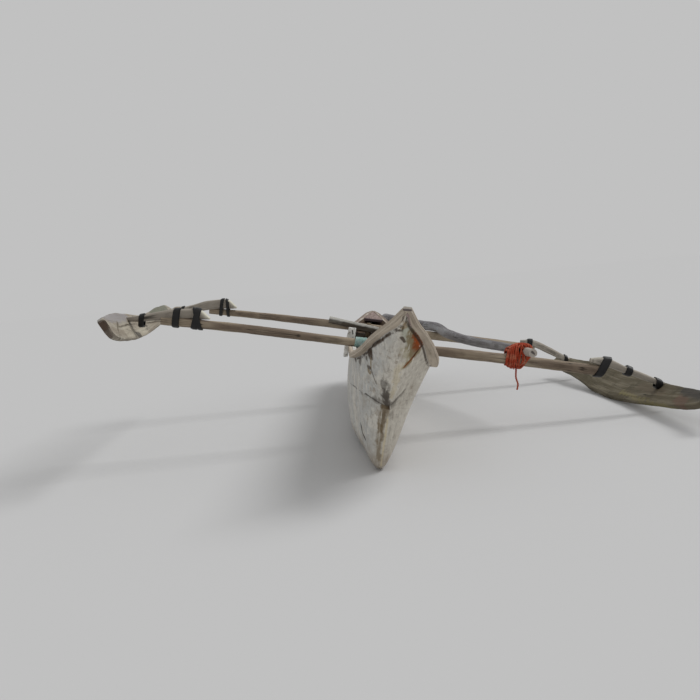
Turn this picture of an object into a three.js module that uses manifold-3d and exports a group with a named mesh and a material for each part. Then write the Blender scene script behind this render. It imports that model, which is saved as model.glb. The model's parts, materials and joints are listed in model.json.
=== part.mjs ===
// An outrigger canoe: a dugout log with upper planks, two booms, and a canted float plank at each side.
// Millimetres. The boat's own frame has X to port, Y aft with the bow at -Y, and Z up from the keel.
// The boat is then heeled until it rests on its bilge and on the port float, as it lies on a beach.
import * as THREE from "three";
import { mergeVertices } from "three/addons/utils/BufferGeometryUtils.js";
import { ConvexGeometry } from "three/addons/geometries/ConvexGeometry.js";
import Module from "manifold-3d";

const wasm = await Module();
wasm.setup();

// Driving dimensions
const SEAT = 0.3; // gap between pieces that touch
const LOG_WALL = 36; // thickness of the dugout's sides
const LOG_FLOOR = 55; // thickness of the dugout's bottom
const PLANK = 24; // thickness of the upper planks
const RAIL_HEIGHT = 34;
const SECTION_STEPS = 9; // points from keel to sheer
const POLE_SIDES = 12;
const BOOM_SKEW = -0.036; // slope of both booms across the boat, aft per unit to port
const FLOAT_THICKNESS = 45;
const CANT = THREE.MathUtils.degToRad(41); // lean of the float planks from upright
const STRAP = 5; // thickness of a rubber strap
const ROPE = 12; // diameter of the lashing rope

// Hull stations from bow to stern. Half-widths are of the planking's port side at heights of 0, 4, 25, 55
// and 100 % of the depth from keel to sheer, then of its starboard side at the sheer. The last column is
// how far the port rail reaches past it.
const HULL = [
  // y, keel, sheer, w0, w4, w25, w55, w100, s100, reach
  [-2785, 885, 905, 2, 3, 4, 5, 7, 7, 13],
  [-2700, 815, 850, 8, 13, 23, 33, 45, 44, 22],
  [-2600, 722, 797, 13, 24, 44, 64, 90, 90, 26],
  [-2450, 580, 736, 16, 30, 62, 97, 147, 133, 29],
  [-2300, 440, 682, 13, 24, 60, 107, 186, 162, 30],
  [-2205, 335, 654, 9, 18, 57, 112, 205, 183, 30],
  [-2165, 222, 645, 8, 18, 58, 114, 209, 189, 30],
  [-2135, 95, 639, 9, 20, 62, 116, 211, 195, 30],
  [-2105, 22, 633, 10, 24, 68, 119, 213, 200, 30],
  [-2030, 0, 623, 12, 31, 77, 124, 215, 210, 30],
  [-1800, 0, 610, 16, 44, 92, 131, 216, 213, 30],
  [-1600, 0, 602, 22, 56, 104, 139, 217, 214, 30],
  [-1300, 0, 592, 28, 78, 132, 162, 219, 215, 30],
  [-1000, 0, 580, 32, 96, 150, 176, 220, 216, 30],
  [-400, 0, 575, 34, 102, 158, 182, 221, 217, 30],
  [300, 0, 575, 34, 102, 158, 182, 221, 217, 30],
  [1000, 0, 578, 32, 96, 152, 178, 220, 216, 30],
  [1500, 0, 586, 26, 72, 130, 162, 218, 214, 30],
  [1850, 0, 596, 16, 42, 95, 138, 208, 204, 30],
  [1980, 0, 602, 12, 32, 80, 126, 200, 197, 30],
  [2060, 40, 606, 10, 25, 72, 117, 191, 188, 30],
  [2150, 140, 611, 9, 20, 61, 104, 178, 176, 30],
  [2250, 260, 622, 9, 18, 53, 92, 160, 158, 30],
  [2400, 415, 652, 10, 20, 44, 73, 122, 120, 28],
  [2550, 545, 680, 9, 17, 32, 52, 86, 86, 26],
  [2700, 640, 706, 7, 11, 20, 30, 48, 48, 22],
  [2785, 700, 724, 2, 3, 4, 5, 7, 7, 13],
];
const HEIGHTS = [0, 0.04, 0.25, 0.55, 1];
// The log was not straight: the starboard half-widths are these shares of the port ones
const STARBOARD = [1, 1.45, 1.24, 1.2];
const STARBOARD_REACH = 0.8; // the starboard rail's share of the port rail's reach
const NOSE = 15; // the rails run this far past the planks and meet

// The joint between the log and the upper planks, as seen from the side
const SEAM = [
  // y, z
  [-2900, 365],
  [-2210, 365],
  [-1950, 400],
  [-1600, 412],
  [-1000, 415],
  [1000, 415],
  [1700, 415],
  [2100, 405],
  [2380, 385],
  [2900, 385],
];

// The booms, from the starboard end to the port end
const BOOM_FRONT_Y = -984;
const BOOM_REAR_Y = 1069;
const BOOM_FRONT = [
  // x, z, radius
  [-1500, 604, 30],
  [-900, 612, 30],
  [-250, 606, 27],
  [250, 610, 32],
  [800, 612, 34],
  [1410, 606, 35],
];
const BOOM_REAR = [
  // x, z, radius
  [-1500, 606, 27],
  [-800, 614, 32],
  [0, 613, 37],
  [700, 612, 37],
  [1400, 605, 32],
];

// The arms that carry the floats, each from its cut tip on the boom down to the float
const ARMS = {
  front_starboard: {
    aft: 14,
    rows: [
      // x, z, half-width, half-height
      [-1185, 664, 24, 16],
      [-1260, 673, 34, 35],
      [-1400, 656, 36, 34],
      [-1500, 636, 36, 31],
      [-1650, 590, 33, 26],
      [-1800, 536, 28, 20],
    ],
  },
  front_port: {
    aft: 12,
    rows: [
      [1350, 664, 22, 16],
      [1430, 667, 34, 33],
      [1590, 632, 36, 28],
      [1720, 598, 34, 25],
      [1900, 548, 28, 19],
    ],
  },
  rear_starboard: {
    aft: -8,
    rows: [
      [-1262, 676, 28, 20],
      [-1365, 682, 38, 42],
      [-1510, 654, 38, 42],
      [-1660, 606, 34, 34],
      [-1830, 552, 28, 22],
    ],
  },
  rear_port: {
    aft: -6,
    rows: [
      [1275, 648, 24, 15],
      [1370, 646, 34, 30],
      [1530, 600, 35, 30],
      [1650, 555, 33, 27],
      [1800, 498, 28, 19],
    ],
  },
};

// The floats: the height of each plank's lower inner edge and its slant height, along the boat
const FLOAT_SKEW = -0.046; // both planks run this much to starboard per unit aft
const FLOAT_STARBOARD = {
  x: -1632, // of the lower inner edge at the front boom
  rows: [
    // y, z, slant
    [-1850, 590, 56],
    [-1760, 558, 105],
    [-1650, 530, 140],
    [-1500, 510, 165],
    [-1300, 495, 188],
    [-1100, 485, 198],
    [-880, 478, 190],
    [-620, 481, 165],
    [-400, 490, 140],
    [-140, 512, 132],
    [140, 545, 122],
    [500, 556, 116],
    [850, 538, 74],
    [1120, 522, 116],
    [1500, 540, 84],
  ],
};
const FLOAT_PORT = {
  x: 1726,
  rows: [
    [-1930, 565, 58],
    [-1750, 518, 114],
    [-1600, 494, 140],
    [-1370, 470, 159],
    [-1080, 443, 181],
    [-680, 407, 229],
    [-250, 386, 268],
    [80, 390, 264],
    [390, 425, 214],
    [660, 446, 166],
    [1000, 458, 134],
    [1250, 486, 92],
  ],
};
const floatRows = ({ x, rows }) =>
  rows.map(([y, z, slant]) => [y, x + FLOAT_SKEW * (y - BOOM_FRONT_Y), z, slant]);

// The spar that lies stowed across both booms
const SPAR = [
  // x, y, z, radius
  [948, -1128, 676, 27],
  [915, -1000, 677, 29],
  [850, -530, 664, 32],
  [705, 215, 646, 36],
  [600, 720, 656, 39],
  [523, 1069, 691, 41],
  [428, 1500, 678, 43],
  [280, 2200, 668, 45],
  [145, 2850, 662, 47],
];
const SPAR_LASHING = { from: 795, to: 945, fore: -1046, aft: -905 };

// Interior pieces
const FRAMES_Y = [-1480, -800, -130, 700, 1500];
const PLANK_BUTTS = [-1480, -130, 1500]; // where the planks' lengths meet, each behind a frame
const FRAME_SIZE = { along: 30, deep: 24, foot: 90, top: 545 };
const TIE = { along: 62, thick: 30, top: 560 }; // the beams that the booms are lashed to
const SEAT_BOARD = { y: 330, along: 190, thick: 24, top: 500 };
const MAST_BOARD = { y: -620, along: 170, thick: 32, top: 520, hole: 42 };
const MAST_STEP = { y: -620, along: 190, across: 120, top: 118, hole: 32, deep: 42 };
const POST = { x: -231, y: -884, across: 60, along: 44, bottom: 498, top: 697, lap: 14 };
const CROSS_BOARD = { from: -430, to: 96, thick: 28, tall: 60, middle: 604, slope: -0.1157 };
const BOW_DECK = { from: -2790, to: -2440, thick: 20 };
const STERN_DECK = { from: 2390, to: 2790, thick: 22 };
const DECK_SUNK = 3; // the deck boards lie this far below the rails

// The tail of the spar's lashing: where it leaves the lashing's underside, and how far it hangs
const TAIL = { x: 870, y: -1015, z: 565, length: 150, radius: 6, sides: 10, steps: 6, sway: 5 };

// Finishes
const finish = (color, roughness) =>
  new THREE.MeshStandardMaterial({ color, roughness, metalness: 0 });
const LIMEWASH = finish("#b9b3ab", 0.85);
const PALE_WOOD = finish("#b3aa9e", 0.85);
const BROWN_WOOD = finish("#93826f", 0.8);
const GREY_WOOD = finish("#8d8f93", 0.8);
const DARK_WOOD = finish("#5d4a3b", 0.85);
const WHITE_PAINT = finish("#d8d6d0", 0.7);
const RUBBER = finish("#1c1c1e", 0.6);
const BROWN_ROPE = finish("#6b5845", 0.85);
const ORANGE_ROPE = finish("#c8452a", 0.8);
const TURQUOISE_ROPE = finish("#6fb5ab", 0.8);

// Straight-line value between the rows of a table, whose first column rises or falls steadily
function betweenRows(rows, at, column) {
  const up = rows[rows.length - 1][0] > rows[0][0];
  let i = 1;
  while (i < rows.length - 1 && (up ? rows[i][0] < at : rows[i][0] > at)) i++;
  const [a, b] = [rows[i - 1], rows[i]];
  return a[column] + ((b[column] - a[column]) * (at - a[0])) / (b[0] - a[0]);
}

// A closed geometry from points and faces, turned to face outwards
function closed(points, faces) {
  let volume = 0;
  for (let i = 0; i < faces.length; i += 3) {
    const [a, b, c] = [points[faces[i]], points[faces[i + 1]], points[faces[i + 2]]];
    volume += a.dot(b.clone().cross(c));
  }
  const index = volume > 0 ? faces : faces.slice().reverse();
  const g = new THREE.BufferGeometry().setFromPoints(points);
  return g.setIndex(index);
}

// A skin over rings that have the same number of points, with each end closed by a fan
function loft(rings) {
  const n = rings[0].length;
  const points = rings.flat();
  const faces = [];
  for (let s = 0; s + 1 < rings.length; s++)
    for (let k = 0; k < n; k++) {
      const a = s * n + k;
      const b = s * n + ((k + 1) % n);
      faces.push(a, b, b + n, a, b + n, a + n);
    }
  for (const [ring, start, turned] of [
    [rings[0], 0, true],
    [rings[rings.length - 1], (rings.length - 1) * n, false],
  ]) {
    const middle = new THREE.Vector3();
    for (const p of ring) middle.addScaledVector(p, 1 / n);
    const m = points.push(middle) - 1;
    for (let k = 0; k < n; k++) {
      const [a, b] = [start + k, start + ((k + 1) % n)];
      faces.push(...(turned ? [m, b, a] : [m, a, b]));
    }
  }
  return closed(points, faces);
}

// Solids for cutting and joining
function solid(geometry) {
  const g = geometry.clone();
  g.deleteAttribute("normal");
  g.deleteAttribute("uv");
  const merged = mergeVertices(g, 1e-3);
  return new wasm.Manifold(
    new wasm.Mesh({
      numProp: 3,
      vertProperties: new Float32Array(merged.attributes.position.array),
      triVerts: new Uint32Array(merged.index.array),
    }),
  );
}

function geometryOf(made) {
  const m = made.getMesh();
  const g = new THREE.BufferGeometry();
  g.setAttribute("position", new THREE.BufferAttribute(new Float32Array(m.vertProperties), 3));
  g.setIndex(new THREE.BufferAttribute(new Uint32Array(m.triVerts), 1));
  const flat = g.toNonIndexed();
  flat.computeVertexNormals();
  return flat;
}

// A box from its low and high corners
function block([x0, y0, z0], [x1, y1, z1]) {
  const g = new THREE.BoxGeometry(x1 - x0, y1 - y0, z1 - z0);
  return solid(g.translate((x0 + x1) / 2, (y0 + y1) / 2, (z0 + z1) / 2));
}

// An outline in the plane of y and z, pushed out to both sides along x
function acrossBoat(outline, halfWidth) {
  const shape = new THREE.Shape(outline.map(([y, z]) => new THREE.Vector2(y, z)));
  const g = new THREE.ExtrudeGeometry(shape, { depth: 2 * halfWidth, bevelEnabled: false });
  g.translate(0, 0, -halfWidth);
  g.applyMatrix4(new THREE.Matrix4().set(0, 0, 1, 0, 1, 0, 0, 0, 0, 1, 0, 0, 0, 0, 0, 1));
  return solid(g);
}

// The outside of one side of a hull section, from the keel to the sheer, as half-widths and heights
function section(row, side, extra) {
  const [, keel, sheer, ...port] = row;
  const starboard = [...STARBOARD.map((share, i) => share * port[i]), port[5]];
  const widths = side > 0 ? port : starboard;
  const least = 0.5;
  const knots = HEIGHTS.map((h, i) => {
    const w = Math.max(least, widths[i] + extra);
    return new THREE.Vector3(w, keel + h * (sheer - keel), 0);
  });
  const curve = new THREE.CatmullRomCurve3(knots, false, "centripetal");
  return curve.getPoints(SECTION_STEPS).map((p) => [p.x, p.y]);
}

// Half-width of a section at a height, by its points
function widthAt(points, z) {
  let i = 1;
  while (i < points.length - 1 && points[i][1] < z) i++;
  const [a, b] = [points[i - 1], points[i]];
  const t = THREE.MathUtils.clamp((z - a[1]) / (b[1] - a[1]), 0, 1);
  return a[0] + t * (b[0] - a[0]);
}

// A ring across the boat from one list of half-widths and heights for each side
function ringOfSides(y, half) {
  const port = half(1).map(([w, z]) => new THREE.Vector3(w, y, z));
  const starboard = half(-1).map(([w, z]) => new THREE.Vector3(-w, y, z)).reverse();
  return [...port, ...starboard];
}

// The hull's outer form, grown by extra at its sides and raised past the sheer
function hullOutside(extra, raised) {
  const rings = HULL.map((row) =>
    ringOfSides(row[0], (side) => {
      const points = section(row, side, extra);
      const [w, z] = points[points.length - 1];
      return raised ? [...points, [w, z + raised]] : points;
    }),
  );
  return solid(loft(rings));
}

// The space inside a wall of the given thickness, open past the sheer
function hullInside(wall, floor) {
  const narrowest = 8;
  const above = 80;
  const steps = 9;
  const rings = [];
  for (const row of HULL) {
    const [y, keel, sheer] = row;
    const outside = { 1: section(row, 1, 0), [-1]: section(row, -1, 0) };
    const room = (side, z) => widthAt(outside[side], Math.min(z, sheer)) - wall;
    if (Math.min(room(1, sheer), room(-1, sheer)) < 2 * narrowest) continue;
    let low = keel + floor;
    while (Math.min(room(1, low), room(-1, low)) < narrowest) low += 2;
    const heights = Array.from({ length: steps + 1 }, (_, k) => low + ((sheer + above - low) * k) / steps);
    rings.push(ringOfSides(y, (side) => heights.map((z) => [Math.max(narrowest, room(side, z)), z])));
  }
  return solid(loft(rings));
}

// All that lies above the seam, moved up by a gap
function aboveSeam(gap) {
  const top = 1200;
  const line = SEAM.map(([y, z]) => [y, z + gap]);
  return acrossBoat([...line, [2900, top], [-2900, top]], 400);
}

function halfSpace(side) {
  const [near, far] = [SEAT / 2, 400];
  return side > 0 ? block([near, -3000, -50], [far, 3000, 1200]) : block([-far, -3000, -50], [-near, 3000, 1200]);
}

// A rail: a strip outside the planks that follows the sheer and meets its twin at both ends
function railStrip(side) {
  const lap = 14;
  const rings = HULL.map(([y, , sheer, , , , , port, starboard, reach], i) => {
    const top = side > 0 ? port : starboard;
    const out = top + (side > 0 ? reach : reach * STARBOARD_REACH);
    const end = i === 0 || i === HULL.length - 1;
    const inner = end ? 0 : Math.max(0, top - lap);
    const at = end ? y + Math.sign(y) * NOSE : y;
    return [
      [inner, sheer],
      [out, sheer],
      [out, sheer - RAIL_HEIGHT],
      [inner, sheer - RAIL_HEIGHT],
    ].map(([x, z]) => new THREE.Vector3(side * x, at, z));
  });
  return solid(loft(rings));
}

// Poles: rings of a squarish or round section in planes of fixed x
function poleRing([x, y, z, halfWidth, halfHeight], extra, square) {
  const ring = [];
  for (let k = 0; k < POLE_SIDES; k++) {
    const a = ((k + 0.5) * 2 * Math.PI) / POLE_SIDES;
    const [c, s] = [Math.cos(a), Math.sin(a)];
    const dy = Math.sign(c) * Math.abs(c) ** square * (halfWidth + extra);
    const dz = Math.sign(s) * Math.abs(s) ** square * (halfHeight + extra);
    ring.push(new THREE.Vector3(x, y + dy, z + dz));
  }
  return ring;
}

function boomRows(rows, y) {
  return rows.map(([x, z, r]) => [x, y + BOOM_SKEW * x, z, r, r]);
}

function armRows({ aft, rows }, y) {
  return rows.map(([x, z, w, h]) => [x, y + BOOM_SKEW * x + aft, z, w, h]);
}

function pole(rows, extra, square) {
  return solid(loft(rows.map((row) => poleRing(row, extra, square))));
}

function ringOf(rows, x, extra, square) {
  const row = [x, ...[1, 2, 3, 4].map((column) => betweenRows(rows, x, column))];
  return poleRing(row, extra, square);
}

// A float plank, canted with its top outboard. Rings lie in planes of fixed y.
function floatRing([y, x, z, slant], side, extra) {
  const along = [side * Math.sin(CANT), Math.cos(CANT)];
  const out = [side * Math.cos(CANT), -Math.sin(CANT)];
  const corner = (s, t) =>
    new THREE.Vector3(x + along[0] * s + out[0] * t, y, z + along[1] * s + out[1] * t);
  const [low, high, near, far] = [-extra, slant + extra, -extra, FLOAT_THICKNESS + extra];
  const soft = 9;
  return [
    corner(low, near),
    corner(high - soft, near),
    corner(high, near + soft),
    corner(high, far - soft),
    corner(high - soft, far),
    corner(low + soft, far),
    corner(low, far - soft),
  ];
}

function floatPlank(rows, side, extra) {
  return solid(loft(rows.map((row) => floatRing(row, side, extra))));
}

function sparSolid(extra) {
  const rings = SPAR.map(([x, y, z, r]) => {
    const ring = [];
    for (let k = 0; k < POLE_SIDES; k++) {
      const a = ((k + 0.5) * 2 * Math.PI) / POLE_SIDES;
      ring.push(new THREE.Vector3(x + (r + extra) * Math.cos(a), y, z + (r + extra) * Math.sin(a)));
    }
    return ring;
  });
  return solid(loft(rings));
}

// A taut strap: the space between a loop and the same loop grown by the strap's thickness.
// rings(x, extra) gives the points that the loop goes round at one edge of the strap.
function strap(edgeA, edgeB, lean, thickness, rings) {
  const margin = 20;
  const [low, high] = [Math.min(edgeA, edgeB), Math.max(edgeA, edgeB)];
  const shell = (extra, end) => {
    const places = [low - end, low, (low + high) / 2, high, high + end];
    const points = places.flatMap((x) =>
      rings(x, extra).map((p) => p.clone().setX(p.x + lean * (p.z - 600))),
    );
    return solid(new ConvexGeometry(points));
  };
  return shell(SEAT + thickness, 0).subtract(shell(SEAT, margin));
}

const root = new THREE.Group();
const boat = new THREE.Group();
root.add(boat);

function add(name, made, material, group = boat) {
  const mesh = new THREE.Mesh(geometryOf(made), material);
  mesh.name = name;
  group.add(mesh);
  return mesh;
}

// Booms and what rests on them
const booms = { front: boomRows(BOOM_FRONT, BOOM_FRONT_Y), rear: boomRows(BOOM_REAR, BOOM_REAR_Y) };
const arms = {};
for (const [name, arm] of Object.entries(ARMS))
  arms[name] = armRows(arm, name.startsWith("front") ? BOOM_FRONT_Y : BOOM_REAR_Y);
const ARM_SQUARE = 0.7;
const FLOATS = { starboard: [floatRows(FLOAT_STARBOARD), -1], port: [floatRows(FLOAT_PORT), 1] };

function boomSolid(end, extra) {
  return pole(booms[end], extra, 1);
}

// A tie beam or a seat: a board across the inside, cut to the shape of the planks
function boardInside(inside, { along, thick, top }, y) {
  const board = block([-300, y - along / 2, top - thick], [300, y + along / 2, top]);
  return board.intersect(inside);
}

function upright(x, y, radius, low, high) {
  const g = new THREE.CylinderGeometry(radius, radius, high - low, 20);
  return solid(g.rotateX(Math.PI / 2).translate(x, y, (low + high) / 2));
}

// The slab that a deck board is cut from: it follows the sheer, and is grown by a gap at its edges
function deckSlab({ from, to, thick }, gap, raised) {
  const between = HULL.map(([y]) => y).filter((y) => y > from && y < to);
  const line = [from - gap, ...between, to + gap].map((y) => [y, betweenRows(HULL, y, 2) - DECK_SUNK]);
  const top = line.map(([y, z]) => [y, z + raised]);
  const bottom = line.map(([y, z]) => [y, z - thick - gap]).reverse();
  return acrossBoat([...top, ...bottom], 300);
}

// A solid parted across the boat at each of the places in y, from the bow aft
function lengths(made, joints) {
  const edges = [-3000, ...joints, 3000];
  const half = SEAT / 2;
  return edges.slice(1).map((to, i) => {
    const between = block([-400, edges[i] + half, -50], [400, to - half, 1200]);
    return largest(made.intersect(between));
  });
}

function buildHull() {
  const outside = hullOutside(0, 0);
  const upper = aboveSeam(SEAT);
  const logInside = hullInside(LOG_WALL, LOG_FLOOR);
  const plankInside = hullInside(PLANK, LOG_FLOOR);
  const boomCuts = boomSolid("front", SEAT).add(boomSolid("rear", SEAT));
  const raised = 60;
  const deckCuts = deckSlab(BOW_DECK, SEAT, raised).add(deckSlab(STERN_DECK, SEAT, raised));
  const log = outside.subtract(aboveSeam(0)).subtract(logInside);
  lengths(log, FRAMES_Y).forEach((made, i) => add(`hull_log_${i + 1}`, made, LIMEWASH));
  const planks = outside.intersect(upper).subtract(plankInside).subtract(boomCuts).subtract(deckCuts);
  const swollen = hullOutside(SEAT, 40);
  const postCut = block(
    [POST.x - POST.across, POST.y - POST.along / 2 - SEAT, POST.bottom - SEAT],
    [-250 + POST.lap, POST.y + POST.along / 2 + SEAT, POST.top],
  );
  for (const [side, sign] of [["port", 1], ["starboard", -1]]) {
    const plank = lengths(planks.intersect(halfSpace(sign)), PLANK_BUTTS);
    plank.forEach((made, i) => add(`plank_${side}_${i + 1}`, made, LIMEWASH));
    const rail = railStrip(sign).intersect(halfSpace(sign)).subtract(swollen).subtract(boomCuts);
    add(`rail_${side}`, largest(sign < 0 ? rail.subtract(postCut) : rail), PALE_WOOD);
  }
  const betweenRails = hullOutside(0, raised);
  add("bow_deck", deckSlab(BOW_DECK, 0, 0).intersect(betweenRails), PALE_WOOD);
  add("stern_deck", deckSlab(STERN_DECK, 0, 0).intersect(betweenRails), PALE_WOOD);
}

function buildInterior() {
  const logSpace = hullInside(LOG_WALL + SEAT, LOG_FLOOR + SEAT);
  const plankSpace = hullInside(PLANK + SEAT, LOG_FLOOR + SEAT);
  const deep = hullInside(LOG_WALL + FRAME_SIZE.deep, LOG_FLOOR + FRAME_SIZE.deep);
  const space = logSpace.subtract(aboveSeam(0)).add(plankSpace.intersect(aboveSeam(0)));
  FRAMES_Y.forEach((y, i) => {
    const half = FRAME_SIZE.along / 2;
    const slice = block([-300, y - half, 0], [300, y + half, FRAME_SIZE.top]);
    add(`frame_${i + 1}`, slice.intersect(space).subtract(deep), DARK_WOOD);
  });
  add("tie_beam_front", boardInside(plankSpace, TIE, BOOM_FRONT_Y), BROWN_WOOD);
  add("tie_beam_rear", boardInside(plankSpace, TIE, BOOM_REAR_Y), BROWN_WOOD);
  add("seat_board", boardInside(plankSpace, SEAT_BOARD, SEAT_BOARD.y), BROWN_WOOD);
  const { y, hole } = MAST_BOARD;
  const board = boardInside(plankSpace, MAST_BOARD, y).subtract(upright(0, y, hole, 400, 600));
  add("mast_board", board, BROWN_WOOD);
  const { along, across, top, deep: socket } = MAST_STEP;
  const step = block([-across / 2, y - along / 2, 0], [across / 2, y + along / 2, top])
    .intersect(logSpace)
    .subtract(upright(0, y, MAST_STEP.hole, top - socket, top + 10));
  add("mast_step", step, DARK_WOOD);
}

function buildPost() {
  const { x, y, across, along, bottom, top, lap } = POST;
  const railFace = -250 + lap - SEAT;
  const foot = block([x - across / 2, y - along / 2, bottom], [railFace, y + along / 2, 600]);
  const head = block([x - across / 2, y - along / 2, 580 + SEAT], [x + across / 2, y + along / 2, top]);
  add("post_starboard", foot.add(head).subtract(boomSolid("front", SEAT)), WHITE_PAINT);
}

// The board on edge that is bound to the fore side of the rear boom
function buildCrossBoard() {
  const { from, to, thick, tall, middle, slope } = CROSS_BOARD;
  const g = new THREE.BoxGeometry(to - from, thick, tall);
  g.rotateY(-Math.atan(slope));
  const x = (from + to) / 2;
  g.translate(x, crossBoardFace() - thick / 2, middle + slope * x);
  add("cross_board", solid(g).subtract(boomSolid("rear", SEAT)), PALE_WOOD);
}

// Where the board's aft face lies: against the boom at the board's middle
function crossBoardFace() {
  const x = (CROSS_BOARD.from + CROSS_BOARD.to) / 2;
  return betweenRows(booms.rear, x, 1) - betweenRows(booms.rear, x, 3);
}

// The board's corners at one place along it, for the rope that goes round it
function crossBoardCorners(x, extra) {
  const { thick, tall, middle, slope } = CROSS_BOARD;
  const [z, half] = [middle + slope * x, tall / 2 + 2 + extra];
  const fore = crossBoardFace() - thick - SEAT - extra;
  return [new THREE.Vector3(x, fore, z - half), new THREE.Vector3(x, fore, z + half)];
}

function buildOutriggers() {
  const armSolid = (name, extra) => pole(arms[name], extra, ARM_SQUARE);
  const floatSolids = {};
  const straps = {};
  for (const [side, [rows, sign]] of Object.entries(FLOATS))
    floatSolids[side] = floatPlank(rows, sign, 0);
  for (const end of ["front", "rear"]) {
    let boom = boomSolid(end, 0);
    for (const side of ["starboard", "port"]) {
      const name = `${end}_${side}`;
      const [rows, sign] = FLOATS[side];
      boom = boom.subtract(armSolid(name, SEAT)).subtract(floatPlank(rows, sign, SEAT));
      const arm = armSolid(name, 0).subtract(floatPlank(rows, sign, SEAT));
      add(`arm_${name}`, largest(arm), GREY_WOOD);
      straps[name] = STRAPS[name].map(([from, to, lean]) =>
        strap(sign * from, sign * to, lean, STRAP, (x, extra) => [
          ...ringOf(booms[end], x, extra, 1),
          ...ringOf(arms[name], x, extra, ARM_SQUARE),
        ]),
      );
      const tie = FLOAT_STRAPS[name];
      const loop = strap(sign * tie.from, sign * tie.to, 0, STRAP, (x, extra) => [
        ...ringOf(arms[name], x, extra, ARM_SQUARE),
        ...underPlank(rows, sign, x, arms[name], extra),
      ]);
      floatSolids[side] = floatSolids[side].subtract(slot(rows, sign, tie, arms[name]));
      straps[name].push(loop);
    }
    add(`boom_${end}`, largest(boom), BROWN_WOOD);
  }
  for (const side of ["starboard", "port"]) add(`float_${side}`, floatSolids[side], PALE_WOOD);
  straps[ARM_BAND.arm].push(
    strap(ARM_BAND.from, ARM_BAND.to, 0, STRAP, (x, extra) => ringOf(arms[ARM_BAND.arm], x, extra, ARM_SQUARE)),
  );
  for (const [name, loops] of Object.entries(straps)) {
    const [end] = name.split("_");
    const clear = armSolid(name, SEAT).add(boomSolid(end, SEAT));
    loops.forEach((loop, i) => add(`strap_${name}_${i + 1}`, largest(loop.subtract(clear)), RUBBER));
  }
}

// The largest body of a solid that a cut has parted
function largest(made) {
  const pieces = made.decompose();
  return pieces.reduce((a, b) => (b.volume() > a.volume() ? b : a));
}

// Rubber straps round boom and arm: edges from the boat's middle outwards, and lean per unit of height
const STRAPS = {
  front_starboard: [
    [1234, 1270, -0.3],
    [1376, 1424, 0],
  ],
  front_port: [[1398, 1462, 0]],
  rear_starboard: [
    [1322, 1350, -0.12],
    [1378, 1408, 0],
  ],
  rear_port: [[1330, 1374, 0]],
};
const ARM_BAND = { arm: "front_port", from: 1572, to: 1610 }; // a strap round one arm alone
// Rubber straps round the arm's foot and the float plank
const FLOAT_STRAPS = {
  front_starboard: { from: 1656, to: 1690 },
  front_port: { from: 1780, to: 1820 },
  rear_starboard: { from: 1722, to: 1754 },
  rear_port: { from: 1668, to: 1700 },
};

// Height of the float plank's lower face at a place, and the two points that a strap rounds there
function underPlank(rows, sign, x, arm, extra) {
  const y = betweenRows(arm, x, 1);
  const [x0, z0] = [betweenRows(rows, y, 1), betweenRows(rows, y, 2)];
  const outX = x0 + sign * Math.cos(CANT) * FLOAT_THICKNESS;
  const outZ = z0 - Math.sin(CANT) * FLOAT_THICKNESS;
  const slack = 5;
  const z = outZ + ((x - outX) * sign) / Math.tan(CANT) - extra - slack;
  const reach = betweenRows(arm, x, 3) + extra;
  return [new THREE.Vector3(x, y - reach, z), new THREE.Vector3(x, y + reach, z)];
}

// The two slots through the plank that a float strap runs in
function slot(rows, sign, { from, to }, arm) {
  const clear = 4;
  const y = betweenRows(arm, sign * from, 1);
  const reach = betweenRows(arm, sign * from, 3) + STRAP / 2;
  const [a, b] = [sign * from, sign * to].sort((p, q) => p - q);
  const cut = (middle) =>
    block([a - clear, middle - STRAP / 2 - clear - 2, 300], [b + clear, middle + STRAP / 2 + clear, 800]);
  return cut(y - reach).add(cut(y + reach));
}

function buildSpar() {
  const spar = sparSolid(0).subtract(boomSolid("front", SEAT)).subtract(boomSolid("rear", SEAT));
  add("spar", spar, GREY_WOOD);
  const { from, to, fore, aft } = SPAR_LASHING;
  const alongSpar = SPAR.map(([x, y, z, r]) => [y, x, z, r]);
  const crossing = (extra) => {
    const round = [fore, aft].flatMap((y) => {
      const [x, z, r] = [1, 2, 3].map((column) => betweenRows(alongSpar, y, column) + (column > 2 ? extra : 0));
      return Array.from({ length: POLE_SIDES }, (_, k) => {
        const a = (k * 2 * Math.PI) / POLE_SIDES;
        return new THREE.Vector3(x + r * Math.cos(a), y, z + r * Math.sin(a));
      });
    });
    const ends = [from, to].flatMap((x) => ringOf(booms.front, x, extra, 1));
    return solid(new ConvexGeometry([...ends, ...round]));
  };
  const lashing = crossing(ROPE).subtract(sparSolid(SEAT)).subtract(boomSolid("front", SEAT));
  add("rope_lashing_spar", largest(lashing), ORANGE_ROPE);
}

// Rope that binds each boom to the tie beam below it, inside the planks: edges from the middle outwards
const BOOM_LASHINGS = [
  { end: "front", side: "port", sign: 1, near: 96, far: 152, material: BROWN_ROPE },
  { end: "front", side: "starboard", sign: -1, near: 112, far: 170, material: TURQUOISE_ROPE },
  { end: "rear", side: "port", sign: 1, near: 102, far: 152, material: BROWN_ROPE },
  { end: "rear", side: "starboard", sign: -1, near: 52, far: 98, material: BROWN_ROPE },
];

function buildBoomLashings() {
  for (const { end, side, sign, near, far, material } of BOOM_LASHINGS) {
    const y = end === "front" ? BOOM_FRONT_Y : BOOM_REAR_Y;
    const withBoard = end === "rear" && sign < 0;
    const loop = strap(sign * near, sign * far, 0, ROPE, (x, extra) => {
      const reach = TIE.along / 2 + extra;
      const low = TIE.top - TIE.thick - extra;
      const beam = [-1, 1].flatMap((s) => [
        new THREE.Vector3(x, y + s * reach, low),
        new THREE.Vector3(x, y + s * reach, TIE.top),
      ]);
      const board = withBoard ? crossBoardCorners(x, extra) : [];
      return [...ringOf(booms[end], x, extra, 1), ...beam, ...board];
    });
    add(`rope_lashing_${end}_${side}`, loop, material);
  }
}

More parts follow.
